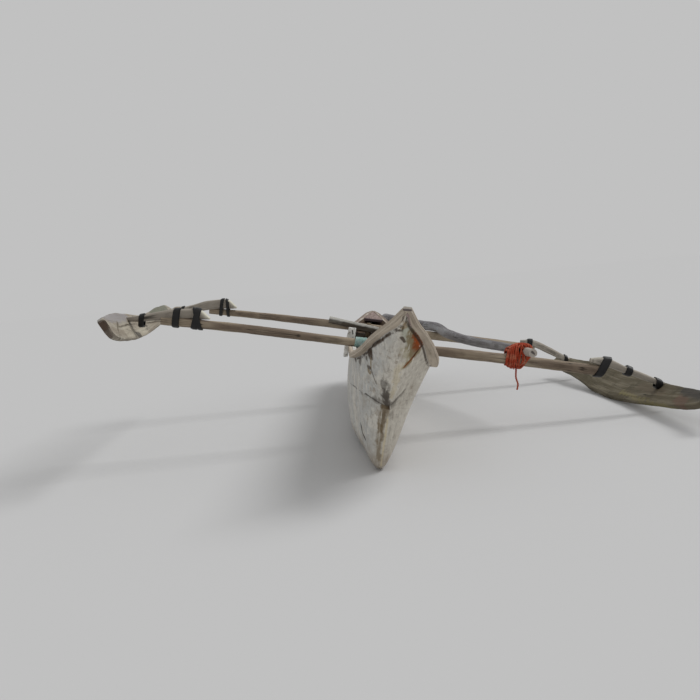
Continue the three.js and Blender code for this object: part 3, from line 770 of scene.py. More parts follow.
# Stains on the hull, and a painted highlight on the lit port face and ridge of the stem.
HULL_STAINS_AND_HIGHLIGHT = StainsAndPaintedLight((
    Mark((21, -2681, 803), (67, -2558, 728), 30, 34, GREEN, 0.45),
    Mark((25, -2572, 700), (62, -2479, 647), 22, 20, "#a39a72", 0.4),
    Mark((40, -2660, 790), (70, -2500, 690), 20, 36, "#7d6a45", 0.8),
    Mark((90, -2480, 690), (34, -2464, 600), 22, 12, "#8a7a52", 0.7),
    Mark((60, -2640, 785), (98, -2525, 725), 12, 32, ORANGE, 0.95),
    Mark((72, -2590, 755), (104, -2530, 728), 10, 14, "#9c470e", 0.8, True),
    Mark((78, -2485, 672), (38, -2466, 606), 11, 6, "#7a431a", 0.9, True),
    Mark((116, -2505, 716), (74, -2484, 668), 12, 8, RUST, 0.9, True),
    Mark((92, -2570, 752), (128, -2500, 722), 6, 10, UMBER, 0.85, True),
    Mark((-1, -2641, 760), (14, -2620, 742), 10, 8, UMBER, 0.85, True),
    Mark((2, -2735, 835), (-6, -2700, 806), 12, 16, "#8a7149", 0.75),
    Mark((-182, -2321, 640), (-150, -2276, 616), 24, 14, SOOT, 0.9),
    Mark((-147, -2339, 662), (-129, -2403, 666), 16, 14, UMBER, 0.9, True),
    Mark((-142, -2330, 642), (-127, -2388, 648), 18, 16, UMBER, 0.95),
    Mark((-134, -2345, 624), (-125, -2382, 628), 11, 9, UMBER, 0.8, True),
    Mark((-176, -2222, 634), (-159, -2285, 642), 12, 10, UMBER, 0.8, True),
    Mark((-131, -2272, 570), (-124, -2300, 572), 13, 12, UMBER, 0.8, True),
    Mark((-126, -2262, 547), (-120, -2288, 549), 13, 10, EARTH, 0.85),
    Mark((-127, -2365, 622), (-120, -2313, 571), 7, 6, EARTH, 0.8, True),
    Mark((-120, -2313, 571), (-83, -2271, 487), 8, 5, UMBER, 0.55, True),
    Mark((-200, -2060, 592), (-205, -1960, 580), 22, 18, SOOT, 0.8),
    Mark((-195, -2184, 603), (-177, -2155, 581), 26, 20, SOOT, 0.75),
    *trail(((-53, -2680, 785), (-92, -2567, 735), (-135, -2430, 688)), 10, UMBER, 0.9),
    Mark((-46, -2346, 499), (-25, -2288, 432), 22, 26, BLOT, 0.6),
    Mark((-30, -2268, 410), (-6, -2236, 368), 26, 18, BLOT, 0.95),
    Mark((-34, -2310, 460), (-22, -2255, 395), 22, 22, SOOT, 0.85),
    Mark((-70, -2200, 395), (30, -2240, 385), 20, 26, SOOT, 0.5),
    Mark((-45, -2205, 360), (4, -2230, 362), 11, 13, UMBER, 0.8),
    Mark((-150, -2110, 425), (-70, -2195, 390), 14, 16, SOOT, 0.35),
    *trail((
        (-200, -1190, 358), (-173, -1688, 387), (-155, -2093, 425), (-126, -2159, 415),
        (-59, -2200, 385), (-26, -2228, 371), (-1, -2242, 376),
    ), 4.5, BLOT, 0.65),
    Mark((10, -2242, 385), (70, -2237, 465), 16, 14, SOOT, 0.5),
    *trail(((-1, -2242, 376), (28, -2243, 401), (50, -2242, 435), (73, -2237, 469)), 4, BLOT, 0.5),
    # pale band on the stem's port face above the V: painted highlight where that face is lit
    Mark((16, -2480, 610), (6, -2290, 425), 22, 12, STEM_HIGHLIGHT, 0.5),
    Mark((-22, -2210, 350), (-25, -2165, 240), 26, 21, "#75644a", 0.75),
    Mark((-25, -2165, 250), (-21, -2124, 70), 21, 14, "#7d6d54", 0.7),
    Mark((-18, -2205, 340), (-19, -2150, 150), 10, 8, "#5d4c35", 0.5),
    Mark((18, -2205, 330), (30, -2180, 250), 14, 10, SOOT, 0.4),
    # pale line along the stem's ridge below the V: painted highlight
    *trail((
        (3, -2220, 345), (3, -2190, 293), (2, -2162, 207), (1, -2141, 122), (-1, -2109, 33),
    ), 5.5, STEM_HIGHLIGHT, 0.7),
    Mark((-122, -1800, 194), (-119, -1890, 186), 14, 14, "#332f2b", 0.9, True),
    *trail(((-115, -1815, 170), (-106, -1905, 153), (-95, -2005, 146)), 11, "#332f2b", 0.95),
))
# Stains on the starboard float, with painted shade on its near end and painted shadow along its step and batten.
FLOAT_STAINS_AND_SHADE = StainsAndPaintedLight((
    Mark((-1655, -1200, 520), (-1662, -550, 500), 40, 44, "#c6bfac", 0.4),
    # grey top of the near end: painted shade, lit only by the sky
    Mark((-1715, -1760, 612), (-1735, -900, 604), 40, 34, "#8e8b90", 0.7),
    # dark near-end face: end grain in painted shade
    Mark((-1678, -1815, 612), (-1640, -1845, 590), 20, 34, "#3b322b", 0.9, True),
    Mark((-1640, -1845, 590), (-1623, -1690, 510), 34, 16, "#57463a", 0.85, True),
    # dark line along the recess's step: painted shadow
    *trail(((-1692, -1290, 585), (-1643, -1440, 544), (-1618, -1514, 500)), 12, "#5f5646", 0.9),
    Mark((-1700, -960, 585), (-1715, -100, 575), 22, 18, "#8d8069", 0.7),
    # dark line under the batten: painted shadow
    *trail((
        (-1674, -1315, 561), (-1699, -1011, 558), (-1702, -342, 541), (-1691, -47, 541),
    ), 7, "#51483a", 0.85),
    *trail(((-1688, -485, 530), (-1686, -445, 528)), 12, "#2c2822", 1.0),
    *trail(((-1680, -500, 515), (-1678, -425, 512)), 8, "#2c2822", 1.0),
    *trail(((-1657, -890, 492), (-1650, -800, 484)), 22, "#3b3630", 0.8),
    *trail(((-1672, -900, 521), (-1669, -840, 517)), 9, "#4b453d", 0.7),
    Mark((-1749, -91, 605), (-1768, 426, 635), 60, 50, "#6b6e60", 0.8),
))
PORT_STAINS_AND_SHADOW = StainsAndPaintedLight((
    Mark((1755, -500, 425), (1756, -1500, 440), 22, 24, "#8d8452", 0.55),
    Mark((1776, -1480, 525), (1780, -1620, 500), 34, 40, "#6b5145", 0.65),
    # dark top face at the near end, with painted shadow along its edge
    Mark((1830, -1450, 585), (1835, -1850, 580), 40, 60, "#3d3a37", 0.85, True),
    Mark((1790, -700, 520), (1790, -1200, 520), 30, 30, "#6a5d4c", 0.5),
))
ARM_STAINS = StainsAndPaintedLight((
    *trail(((-1180, -928, 665), (-1245, -926, 705)), 30, "#d8d5c4", 0.9),
    *trail(((-1262, 1105, 680), (-1330, 1107, 716)), 32, "#d8d5c4", 0.9),
    *trail(((1355, -1020, 690), (1395, -1021, 694)), 24, "#bdb9ac", 0.8),
))
SPAR_STAINS = StainsAndPaintedLight((
    Mark((925, -1040, 677), (946, -1140, 677), 45, 45, "#b5aca2", 0.9, True),
    Mark((940, -1132, 684), (956, -1132, 672), 8, 6, "#4a4340", 0.9, True),
    Mark((500, 900, 680), (780, -350, 695), 24, 20, "#a9abb0", 0.6),
    Mark((420, 1300, 680), (500, 900, 680), 30, 24, "#a9abb0", 0.7),
))
RAIL_STAINS_AND_SHADOW = StainsAndPaintedLight((
    Mark((-12, -2807, 911), (20, -2800, 911), 10, 10, "#d6cfc5", 0.7, True),
    # dark line across the tip: painted shadow in the notch where the rails' ends meet
    *trail(((-22, -2807, 900), (16, -2807, 899)), 5, "#4d4448", 0.85),
))
BOARD_PAINTED_LIGHT = StainsAndPaintedLight((
    # paler left end of the cross board's face: painted light where it is less shaded
    Mark((-430, 1011, 660), (-320, 1011, 645), 24, 16, "#7d7971", 0.6),
    # bright top edge of the cross board: painted highlight where the sun catches it
    *trail(((-430, 1012, 687), (0, 1012, 639)), 22, "#eceae2", 1.0),
))
DECK_PAINTED_SHADOW = StainsAndPaintedLight((
    # dark band under the stern deck's front edge: painted shadow of the hull's inside below the deck
    Mark((-75, 2392, 648), (85, 2388, 636), 28, 28, "#43363a", 0.9, True),
))
POST_STAINS = StainsAndPaintedLight((Mark((-226, -906, 678), (-223, -906, 656), 4, 4, "#2e2823", 0.95, True),))


@dataclass(frozen=True)
class Limewash:
    """Old limewash on planks: mottled and chalky, thin along the grain, with run-down dirt and stains, painted shade
    on the starboard side, towards the stern and under the rails, and a painted highlight along the stem.
    """

    name: str = "limewashed_hull"
    wash: str = "#c9c3b7"
    chalk: str = "#dcd7cc"
    thin: str = "#a79e92"
    # cool tint of the starboard side: painted shade
    shade: str = "#b9bcbc"
    bare: str = "#8f7d67"
    # darker brown towards the stern: painted shade of the backlit stern
    aft: str = "#7d6a5e"
    grime: str = "#5f584e"
    stains: StainsAndPaintedLight = HULL_STAINS_AND_HIGHLIGHT
    foot: float = 0.16
    rail_foot: float = -0.006

    def make(self) -> Material:
        """Builds the node material.

        Returns:
            The material.
        """
        bench = Bench(self.name)
        run, place, aboard = bench.run(GrainFrom.PIECE), bench.place(), bench.aboard()
        fibre = bench.noise(bench.scaled(run, (7.0, 90.0, 20.0)), detail=4.0, rough=0.6)
        cloud = bench.noise(place, 5.5, 5.0, 0.62)
        mottle = bench.noise(place, 34.0, 5.0, 0.7)
        patch = bench.noise(bench.scaled(aboard, (14.0, 6.0, 9.0), (4.0, 2.0, 1.0)), detail=5.0, rough=0.68)
        stroke = bench.noise(bench.scaled(aboard, (75.0, 16.0, 5.0)), detail=4.0, rough=0.62)
        drip = bench.noise(bench.scaled(aboard, (46.0, 24.0, 4.0), (1.0, 5.0, 2.0)), detail=3.0)
        speck = bench.step(bench.cells(place, 30.0), 0.13, 0.05)
        colour = self.sides(bench, aboard, mottle)
        for hue, gain, pattern, low, high, strength in (
            (self.chalk, 1.0, cloud, 0.47, 0.62, 0.65),
            (self.thin, 1.0, stroke, 0.5, 0.68, 0.55),
            (self.chalk, 1.06, stroke, 0.46, 0.33, 0.5),
            (self.thin, 0.9, mottle, 0.52, 0.68, 0.55),
            (self.chalk, 1.08, mottle, 0.45, 0.34, 0.45),
            (self.thin, 0.85, fibre, 0.56, 0.7, 0.25),
        ):
            colour = bench.over(colour, hue, bench.step(pattern, low, high), strength, gain)
        worn = bench.math("MULTIPLY", bench.step(patch, 0.57, 0.66), bench.step(mottle, 0.42, 0.56))
        streak = bench.math("MULTIPLY", bench.step(drip, 0.56, 0.7), bench.step(cloud, 0.42, 0.6))
        colour = bench.over(colour, self.bare, worn, 0.5)
        colour = bench.over(colour, self.grime, streak, 0.4)
        colour = bench.over(colour, self.grime, speck, 0.45, 0.7)
        low = bench.step(bench.ragged(bench.split(place)[2], patch, 0.3), self.foot, 0.0)
        colour = bench.over(colour, self.bare, low, 0.6)
        colour = self.stains.lay(bench, place, stroke, colour)
        colour = self.joint(bench, run, aboard, mottle, colour)
        normal = bench.bump(bench.math("SUBTRACT", mottle, worn), 0.0011, bench.bump(stroke, 0.0014))
        return bench.finish(colour, bench.grown(cloud, 0.2, 0.7), normal, 0.2)

    def sides(self, bench: Bench, aboard: Socket, mottle: Socket) -> Socket:
        """The wash itself, with painted shade: a cool tint on the starboard side, which faces away from the sun, and
        darker and browner towards the backlit stern.

        Args:
            bench: The material's bench.
            aboard: The place in the boat's frame.
            mottle: A fine pattern that roughens the change.

        Returns:
            The wash's colour.
        """
        x, y, _ = bench.split(aboard)
        # painted shade: a cool tint on the starboard side, which only the sky lights
        painted_sky_shade = bench.step(bench.ragged(x, mottle, 0.10), BERTH.middle() + 0.02, BERTH.middle() - 0.11)
        colour = bench.over(linear(self.wash), self.shade, painted_sky_shade, 0.7)
        # painted shade: darker and browner towards the backlit stern
        return bench.over(colour, self.aft, bench.step(y, 1.5, 2.2), 0.85)

    def joint(self, bench: Bench, run: Socket, aboard: Socket, mottle: Socket, colour: Socket) -> Socket:
        """Draws the dark joint below each rail, darkened as painted shadow under the rail, which gapes at the port
        bow.

        Args:
            bench: The material's bench.
            run: The grain's coordinates, whose second is the height above the rail's foot on the planks.
            aboard: The place in the boat's frame.
            mottle: A fine pattern that breaks the line up.
            colour: The colour so far.

        Returns:
            The colour with the joint and its painted shadow.
        """
        off = bench.math("ABSOLUTE", bench.math("SUBTRACT", bench.split(run)[1], self.rail_foot))
        x, y, _ = bench.split(aboard)
        port = bench.step(x, BERTH.middle() - 0.01, BERTH.middle() + 0.02)
        gaping = bench.math("MULTIPLY", port, bench.step(y, -2.2, -2.4))
        broken = bench.math("MAXIMUM", bench.step(mottle, 0.4, 0.55), gaping)
        # dark joint with painted shadow along it under the rail
        line = bench.math("MULTIPLY", bench.step(off, 0.008, 0.003), broken)
        return bench.over(colour, UMBER, line, 0.85, 0.8)


@dataclass(frozen=True)
class Paint:
    """Thick white paint that has chipped down to old wood."""

    name: str = "white_paint"
    coat: str = "#eceae5"
    under: str = "#a1998e"
    stains: StainsAndPaintedLight = POST_STAINS

    def make(self) -> Material:
        """Builds the node material.

        Returns:
            The material.
        """
        bench = Bench(self.name)
        place = bench.place()
        chip = bench.noise(place, 42.0, 5.0, 0.7)
        cloud = bench.noise(place, 14.0, 3.0)
        off = bench.step(chip, 0.58, 0.63)
        colour = bench.mix(linear(self.coat), linear(self.coat, 0.72), bench.step(cloud, 0.45, 0.7))
        colour = bench.over(colour, self.under, off, 0.7)
        colour = self.stains.lay(bench, place, chip, colour)
        normal = bench.bump(bench.math("SUBTRACT", cloud, off), 0.002)
        return bench.finish(colour, bench.grown(off, 0.3, 0.55), normal)


@dataclass(frozen=True)
class Rubber:
    """Inner-tube rubber, dusty along its ridges."""

    name: str = "black_rubber"
    base: str = "#0d0c0d"
    dust: str = "#34312e"

    def make(self) -> Material:
        """Builds the node material.

        Returns:
            The material.
        """
        bench = Bench(self.name)
        ribs = bench.noise(bench.scaled(bench.run(GrainFrom.PIECE), (6.0, 260.0, 20.0)), detail=2.0)
        cloud = bench.noise(bench.place(), 24.0, 4.0, 0.65)
        powder = bench.math("MULTIPLY", bench.step(cloud, 0.48, 0.72), bench.step(ribs, 0.35, 0.6))
        colour = bench.over(linear(self.base), self.dust, powder, 0.45)
        normal = bench.bump(ribs, 0.0008, bench.bump(cloud, 0.0015))
        return bench.finish(colour, bench.grown(powder, 0.35, 0.42), normal, 0.4)


@dataclass(frozen=True)
class Rope:
    """Laid rope: fibres that wind with the strands, paler patches that are part sun fading and part painted highlight,
    and painted shade in the grooves between the strands.
    """

    name: str
    base: str
    faded_and_highlight: str
    deep: str

    def make(self) -> Material:
        """Builds the node material.

        Returns:
            The material.
        """
        bench = Bench(self.name)
        run = bench.run(GrainFrom.PIECE)
        fibre = bench.noise(bench.scaled(run, (160.0, 420.0, 60.0)), detail=3.0, rough=0.7)
        cloud = bench.noise(bench.place(), 30.0, 3.0)
        # paler patches: part sun fading, part painted highlight
        colour = bench.mix(linear(self.base), linear(self.faded_and_highlight), bench.step(cloud, 0.4, 0.68))
        colour = bench.over(colour, self.deep, bench.step(fibre, 0.5, 0.32), 0.6)
        # painted shade in the grooves between the strands
        colour = bench.over(colour, self.deep, bench.split(run)[2], 0.75, 0.6)
        return bench.finish(colour, 0.85, bench.bump(fibre, 0.0012), 0.2)


WOODS = {
    # the rail's aft colour is painted shade of the backlit stern
    "rail": Wood("rail_wood", ("#c6baa9", "#ac9f8e", "#6d6153"), 0.005, 0.3, RAIL_STAINS_AND_SHADOW, aft="#6f6056"),
    # brown wood darkened further as painted shade of the hull's inside
    "interior": Wood("inner_wood", ("#6d5c4b", "#57473a", "#33291f")),
    "brown_pole": Wood("boom_wood", ("#a1937f", "#7a6b5c", "#4b4035"), 0.005),
    "grey_pole": Wood("arm_wood", ("#b9b2a6", "#928a7f", "#4a443d"), 0.012, stains=ARM_STAINS),
    "spar": Wood("spar_wood", ("#9a999a", "#777476", "#46403e"), 0.006, stains=SPAR_STAINS),
    "float_pale": Wood("pale_float_wood", ("#aaa394", "#93897a", "#5f574c"), 0.006, stains=FLOAT_STAINS_AND_SHADE),
    "float_dull": Wood("dull_float_wood", ("#7d7562", "#5e5643", "#3b3828"), 0.006, 0.6, PORT_STAINS_AND_SHADOW),
    "deck": Wood("deck_wood", ("#a3908a", "#8c7a73", "#5c4c48"), 0.018, 0.35, DECK_PAINTED_SHADOW, GrainFrom.ALONG_Y),
    # brown board wood darkened as painted shade of the hull's inside
    "crossways": Wood(
        "crossways_wood", ("#5d554a", "#484038", "#302923"), 0.018, 0.35, BOARD_PAINTED_LIGHT, GrainFrom.ALONG_X
    ),
    # brown frame wood darkened as painted shade of the hull's inside
    "frame": Wood("frame_wood", ("#66564a", "#53443a", "#2e251e"), source=GrainFrom.ALONG_X),
}


@dataclass(frozen=True)
class HullForm:
    """The hull's lines: port half-widths at five shares of the depth, starboard half-width at the sheer."""

    lines: Table = Table((
        # y, keel, sheer, w0, w4, w25, w55, w100, s100, reach
        (-2785, 885, 905, 2, 3, 4, 5, 7, 7, 13),
        (-2700, 815, 850, 8, 13, 23, 33, 45, 44, 22),
        (-2600, 722, 797, 13, 24, 44, 66, 97, 90, 26),
        (-2450, 580, 736, 16, 30, 62, 97, 147, 133, 29),
        (-2300, 440, 682, 13, 24, 60, 107, 186, 162, 30),
        (-2205, 335, 654, 9, 18, 57, 112, 205, 183, 30),
        (-2165, 222, 645, 8, 18, 58, 114, 209, 189, 30),
        (-2135, 95, 639, 9, 20, 62, 116, 211, 195, 30),
        (-2105, 22, 633, 10, 24, 68, 119, 213, 200, 30),
        (-2030, 0, 623, 12, 31, 77, 124, 215, 210, 30),
        (-1800, 0, 610, 16, 44, 92, 131, 216, 213, 30),
        (-1600, 0, 602, 22, 56, 104, 139, 217, 214, 30),
        (-1300, 0, 592, 28, 78, 132, 162, 219, 215, 30),
        (-1000, 0, 580, 32, 96, 150, 176, 220, 216, 30),
        (-400, 0, 575, 34, 102, 158, 182, 221, 217, 30),
        (300, 0, 575, 34, 102, 158, 182, 221, 217, 30),
        (1000, 0, 578, 32, 96, 152, 178, 220, 216, 30),
        (1500, 0, 586, 26, 72, 130, 162, 218, 214, 30),
        (1850, 0, 596, 16, 42, 95, 138, 208, 204, 30),
        (1980, 0, 602, 12, 32, 80, 126, 200, 197, 30),
        (2060, 40, 606, 10, 25, 72, 117, 191, 188, 30),
        (2150, 140, 611, 9, 20, 61, 104, 178, 176, 30),
        (2250, 260, 622, 9, 18, 53, 92, 160, 158, 30),
        (2400, 415, 652, 10, 20, 44, 73, 122, 120, 28),
        (2550, 545, 680, 9, 17, 32, 52, 86, 86, 26),
        (2700, 640, 706, 7, 11, 20, 30, 48, 48, 22),
        (2785, 700, 724, 2, 3, 4, 5, 7, 7, 13),
    ))
    shares: Row = (0.0, 0.04, 0.25, 0.55, 1.0)
    starboard: Row = (1, 1.45, 1.24, 1.2)
    seam: Table = Table((
        (-2900, 352), (-2222, 356), (-2198, 388), (-2160, 408), (-2090, 420), (-1900, 412),
        (-1600, 414), (-1000, 415), (1000, 415), (1700, 415), (2100, 405), (2380, 385), (2900, 385),
    ))
    least: float = 0.5
    fading: tuple[float, float] = (4, 40)
    steep: tuple[tuple[float, float], ...] = ((-2245, -2020), (1960, 2200))
    steep_step: float = 9
    step: float = 26

    def keel(self, y: float) -> float:
        """Height of the keel at y, in millimetres."""
        return self.lines.at(y)[0]

    def sheer(self, y: float) -> float:
        """Height of the sheer at y, in millimetres."""
        return self.lines.at(y)[1]

    def reach(self, y: float) -> float:
        """How far the port rail goes past the planks at y, in millimetres."""
        return self.lines.at(y)[8]

    def width_of(self, y: float, side: Side) -> Callable[[float], float]:
        """Half-width of one side of a section.

        Args:
            y: Place along the boat, in millimetres.
            side: Which side.

        Returns:
            A function from height to half-width, both in millimetres.
        """
        keel, sheer, *widths, starboard_top, _ = self.lines.at(y)
        if side is Side.STARBOARD:
            widths = [w * s for w, s in zip(widths, self.starboard)] + [starboard_top]
        curve = Table(tuple(zip(self.shares, widths)))
        tilt = 1.2 if side is Side.PORT else 4.7

        def width(z: float) -> float:
            """Half-width at a height.

            Args:
                z: The height.

            Returns:
                The half-width.
            """
            plain = curve.at((z - keel) / max(1.0, sheer - keel))[0]
            uneven = wobble(y * 0.004, z * 0.009, tilt, 1.6) + wobble(y * 0.017, z * 0.03, tilt, 0.7)
            return max(self.least, plain + uneven * eased(plain, *self.fading))

        return width

    def stations(self, low: float, high: float) -> list[float]:
        """Places along the boat, close together where the keel rises.

        Args:
            low: First place, in millimetres.
            high: Last place.

        Returns:
            The places from first to last.
        """
        made = [low]
        while made[-1] < high - 4:
            y = made[-1]
            steep = any(a < y < b for a, b in self.steep)
            made.append(min(high, y + (self.steep_step if steep else self.step)))
        return made


FORM = HullForm()


@dataclass
class Rails:
    """The rails outside the planks: worn round, thinner at the bow, with the port one lapped over there."""

    height: float = 34
    bow_height: dict[Side, float] = field(default_factory=lambda: {Side.PORT: 20, Side.STARBOARD: 32})
    starboard_share: float = 0.8
    nose: float = 15
    bow_nose: dict[Side, float] = field(default_factory=lambda: {Side.PORT: 22, Side.STARBOARD: 2})
    lap: float = 22
    lapping: tuple[float, float] = (2640, 2785)
    tip_lift: float = 9
    lifting: tuple[float, float] = (2680, 2785)
    thinning: tuple[float, float] = (2250, 2600)
    closed: float = 0.2
    clear: float = 0.3
    points: int = 20
    round_off: float = 0.34

    def tall(self, y: float, side: Side) -> float:
        """Height of a side's rail at y, in millimetres."""
        return self.height - (self.height - self.bow_height[side]) * eased(-y, *self.thinning)

    def ring(self, y: float, side: Side, end: bool) -> Ring:
        """One ring of a rail.

        Args:
            y: Place along the boat, in millimetres.
            side: Which side.
            end: Whether this ring is the rail's very end.

        Returns:
            The ring's points and the grain's run.
        """
        sheer, reach, tall = FORM.sheer(y), FORM.reach(y), self.tall(y, side)
        width = FORM.width_of(y, side)
        if side is Side.STARBOARD:
            reach *= self.starboard_share
        inner = self.closed if end else width(sheer) + self.clear
        out = width(sheer) + reach + wobble(y * 0.012, side.value * 3.0, 0.0, 2.2)
        at = y + math.copysign(self.nose, y) if end else y
        if end and y < 0:
            at = y - self.bow_nose[side]
        if side is Side.PORT:
            inner -= self.lap * eased(-y, *self.lapping)
        raised = self.tip_lift * eased(-y, *self.lifting)
        lift = wobble(y * 0.01, side.value * 7.0, 2.0, 1.5)
        middle, half = (inner + out) / 2, (out - inner) / 2
        points, grain = [], []
        for a, _, _, u, v in section(self.points, self.round_off, 0.5):
            up = sheer - tall / 2 + v * tall / 2
            lean = 0.0 if end or u > 0 else width(up) - width(sheer)
            x = middle + u * half + lean
            z = up + lift * (0.5 if v > 0 else 1.0) + raised
            points.append(Vector((side.value * x, at, z)) * MM)
            grain.append((y * MM, side.value * (0.3 + a * 0.03), 0.0))
        return points, grain

    def build(self, wood: Material) -> None:
        """Makes both rails.

        Args:
            wood: Their finish.
        """
        low, high = FORM.lines.rows[0][0], FORM.lines.rows[-1][0]
        for side in Side:
            rings = [self.ring(y, side, y in (low, high)) for y in FORM.stations(low, high)]
            name = f"rail_{side.name.lower()}"
            Workshop.drawn(f"{name}_skin", rings, wood, name)


RAILS = Rails()


@dataclass
class Hull:
    """The dugout log and the planks that raise its sides."""

    wall: float = 36
    floor: float = 55
    plank: float = 24
    steps: int = 15
    soft: float = 2.6
    above_joint: float = 100
    crowding: float = 1.7
    least_room: float = 8
    lift: float = 6
    least: float = 2
    log_ends: tuple[float, float] = (-2219, 2352)
    ends: tuple[float, float] = (-2785, 2785)

    def build(self, wash: Material, inner: Material) -> None:
        """Makes the log and both planks.

        Args:
            wash: Finish of the outside.
            inner: Finish of the inside.
        """
        log = [self.log_ring(y) for y in FORM.stations(*self.log_ends)]
        Workshop.hollow("hull_log", log, (wash, inner), 6)
        for side in Side:
            plank = [self.plank_ring(y, side) for y in FORM.stations(*self.ends)]
            Workshop.hollow(f"plank_{side.name.lower()}", plank, (wash, inner), 4)

    def log_ring(self, y: float) -> Ring:
        """One ring of the log.

        Args:
            y: Place along the boat, in millimetres.

        Returns:
            The ring's points and the grain's run.
        """
        keel, top = FORM.keel(y), FORM.seam.at(y)[0]
        halves = {side: FORM.width_of(y, side) for side in Side}
        room = lambda z: min(halves[side](z) for side in Side) - self.wall
        low = min(keel + self.floor, top - 1)
        while low < top - self.lift and room(low) < self.least_room:
            low += self.lift
        climb = [(k / self.steps) ** self.crowding for k in range(self.steps + 1)]
        outer = [keel + (top - self.soft - keel) * c for c in climb]
        inner = [low + (top - low) * k / self.steps for k in range(self.steps + 1)]
        points, grain = [], []

        def add(side: Side, ring: list[tuple[float, float]], depth: float) -> None:
            """Adds half-widths and heights of one side, 0 or 1 deep in the wall."""
            points.extend(Vector((side.value * w, y, z)) * MM for w, z in ring)
            grain.extend((y * MM + side.value, (z + self.above_joint) * MM, depth) for _, z in ring)

        for side, heights in ((Side.PORT, outer[::-1]), (Side.STARBOARD, outer)):
            edge = [(halves[side](top) - self.soft, top)]
            wall = [(halves[side](z), z) for z in heights]
            add(side, edge + wall if side is Side.PORT else wall + edge, 0.0)
        for side, heights in ((Side.STARBOARD, inner[::-1]), (Side.PORT, inner)):
            add(side, [(max(self.least, halves[side](z) - self.wall), z) for z in heights], 1.0)
        return points, grain

    def plank_ring(self, y: float, side: Side) -> Ring:
        """One ring of a side plank.

        Args:
            y: Place along the boat, in millimetres.
            side: Which side.

        Returns:
            The ring's points and the grain's run.
        """
        keel, sheer, seam = FORM.keel(y), FORM.sheer(y), FORM.seam.at(y)[0]
        width = FORM.width_of(y, side)
        low = max(keel, seam + 0.3)
        soft = self.soft * eased(seam - keel, 2, 25)
        heights = [low + (sheer - low) * k / self.steps for k in range(self.steps + 1)]
        outer = [(width(low) - soft, low), *((width(z), z) for z in heights[1:])]
        outer.insert(1, (width(low + soft), low + soft + 0.01))
        inner = [(max(0.15, width(z) - self.plank), z) for z in reversed(heights)]
        sign = side.value
        points = [Vector((sign * w, y, z)) * MM for w, z in (*outer, *inner)]
        foot = sheer - RAILS.tall(y, side)
        depths = [0.0] * len(outer) + [1.0] * len(inner)
        grain = [(y * MM + sign, (z - foot) * MM, d) for (_, z), d in zip((*outer, *inner), depths)]
        return points, grain


def around(table: Table, x: float, square: float = 1.0) -> list[Vector]:
    """Points in metres round a pole across the boat, at x in millimetres, from its rows and squareness."""
    y, z, half, tall = table.at(x)
    return [Vector((x, y + u * half, z + v * tall)) * MM for _, _, _, u, v in section(16, square)]


@dataclass
class Pole:
    """A pole whose rings lie in planes of fixed x, or of fixed y where it runs along the boat.

    The table's rows hold the place along, the other level coordinate, z, half-width and half-height.
    """

    name: str
    node: str
    table: Table
    square: float = 1.0
    seed: float = 0.0
    grain_seed: float = 0.0
    along_boat: bool = False
    uneven: float = 2.2
    wave: float = 0.008
    knobs: float = 0.8
    sides: int = 22
    step: float = 14.0
    soft: float = 0.004

    def ring(self, at: float) -> Ring:
        """One ring of the pole.

        Args:
            at: Place along the pole, in millimetres.

        Returns:
            The ring's points and the grain's run.
        """
        across, z, half, tall = self.table.at(at)
        points, grain = [], []
        for a, c, s, u, v in section(self.sides, self.square):
            lump = wobble(at * self.wave, c + self.seed, s, self.uneven)
            lump += wobble(at * 0.03, c * 2, s * 2 + self.seed, self.knobs)
            off = across + u * (half + lump)
            level = (off, at) if self.along_boat else (at, off)
            points.append(Vector((*level, z + v * (tall + lump))) * MM)
            round_it = 2 * half * math.sin(a / 2)
            grain.append((at * MM + self.grain_seed, round_it * MM + self.seed, c * half * MM))
        return points, grain

    def build(self, wood: Material) -> None:
        """Makes the pole from a wood."""
        rings = [self.ring(at) for at in self.table.places(self.step)]
        Workshop.drawn(self.name, rings, wood, self.node, self.soft, 0.001)


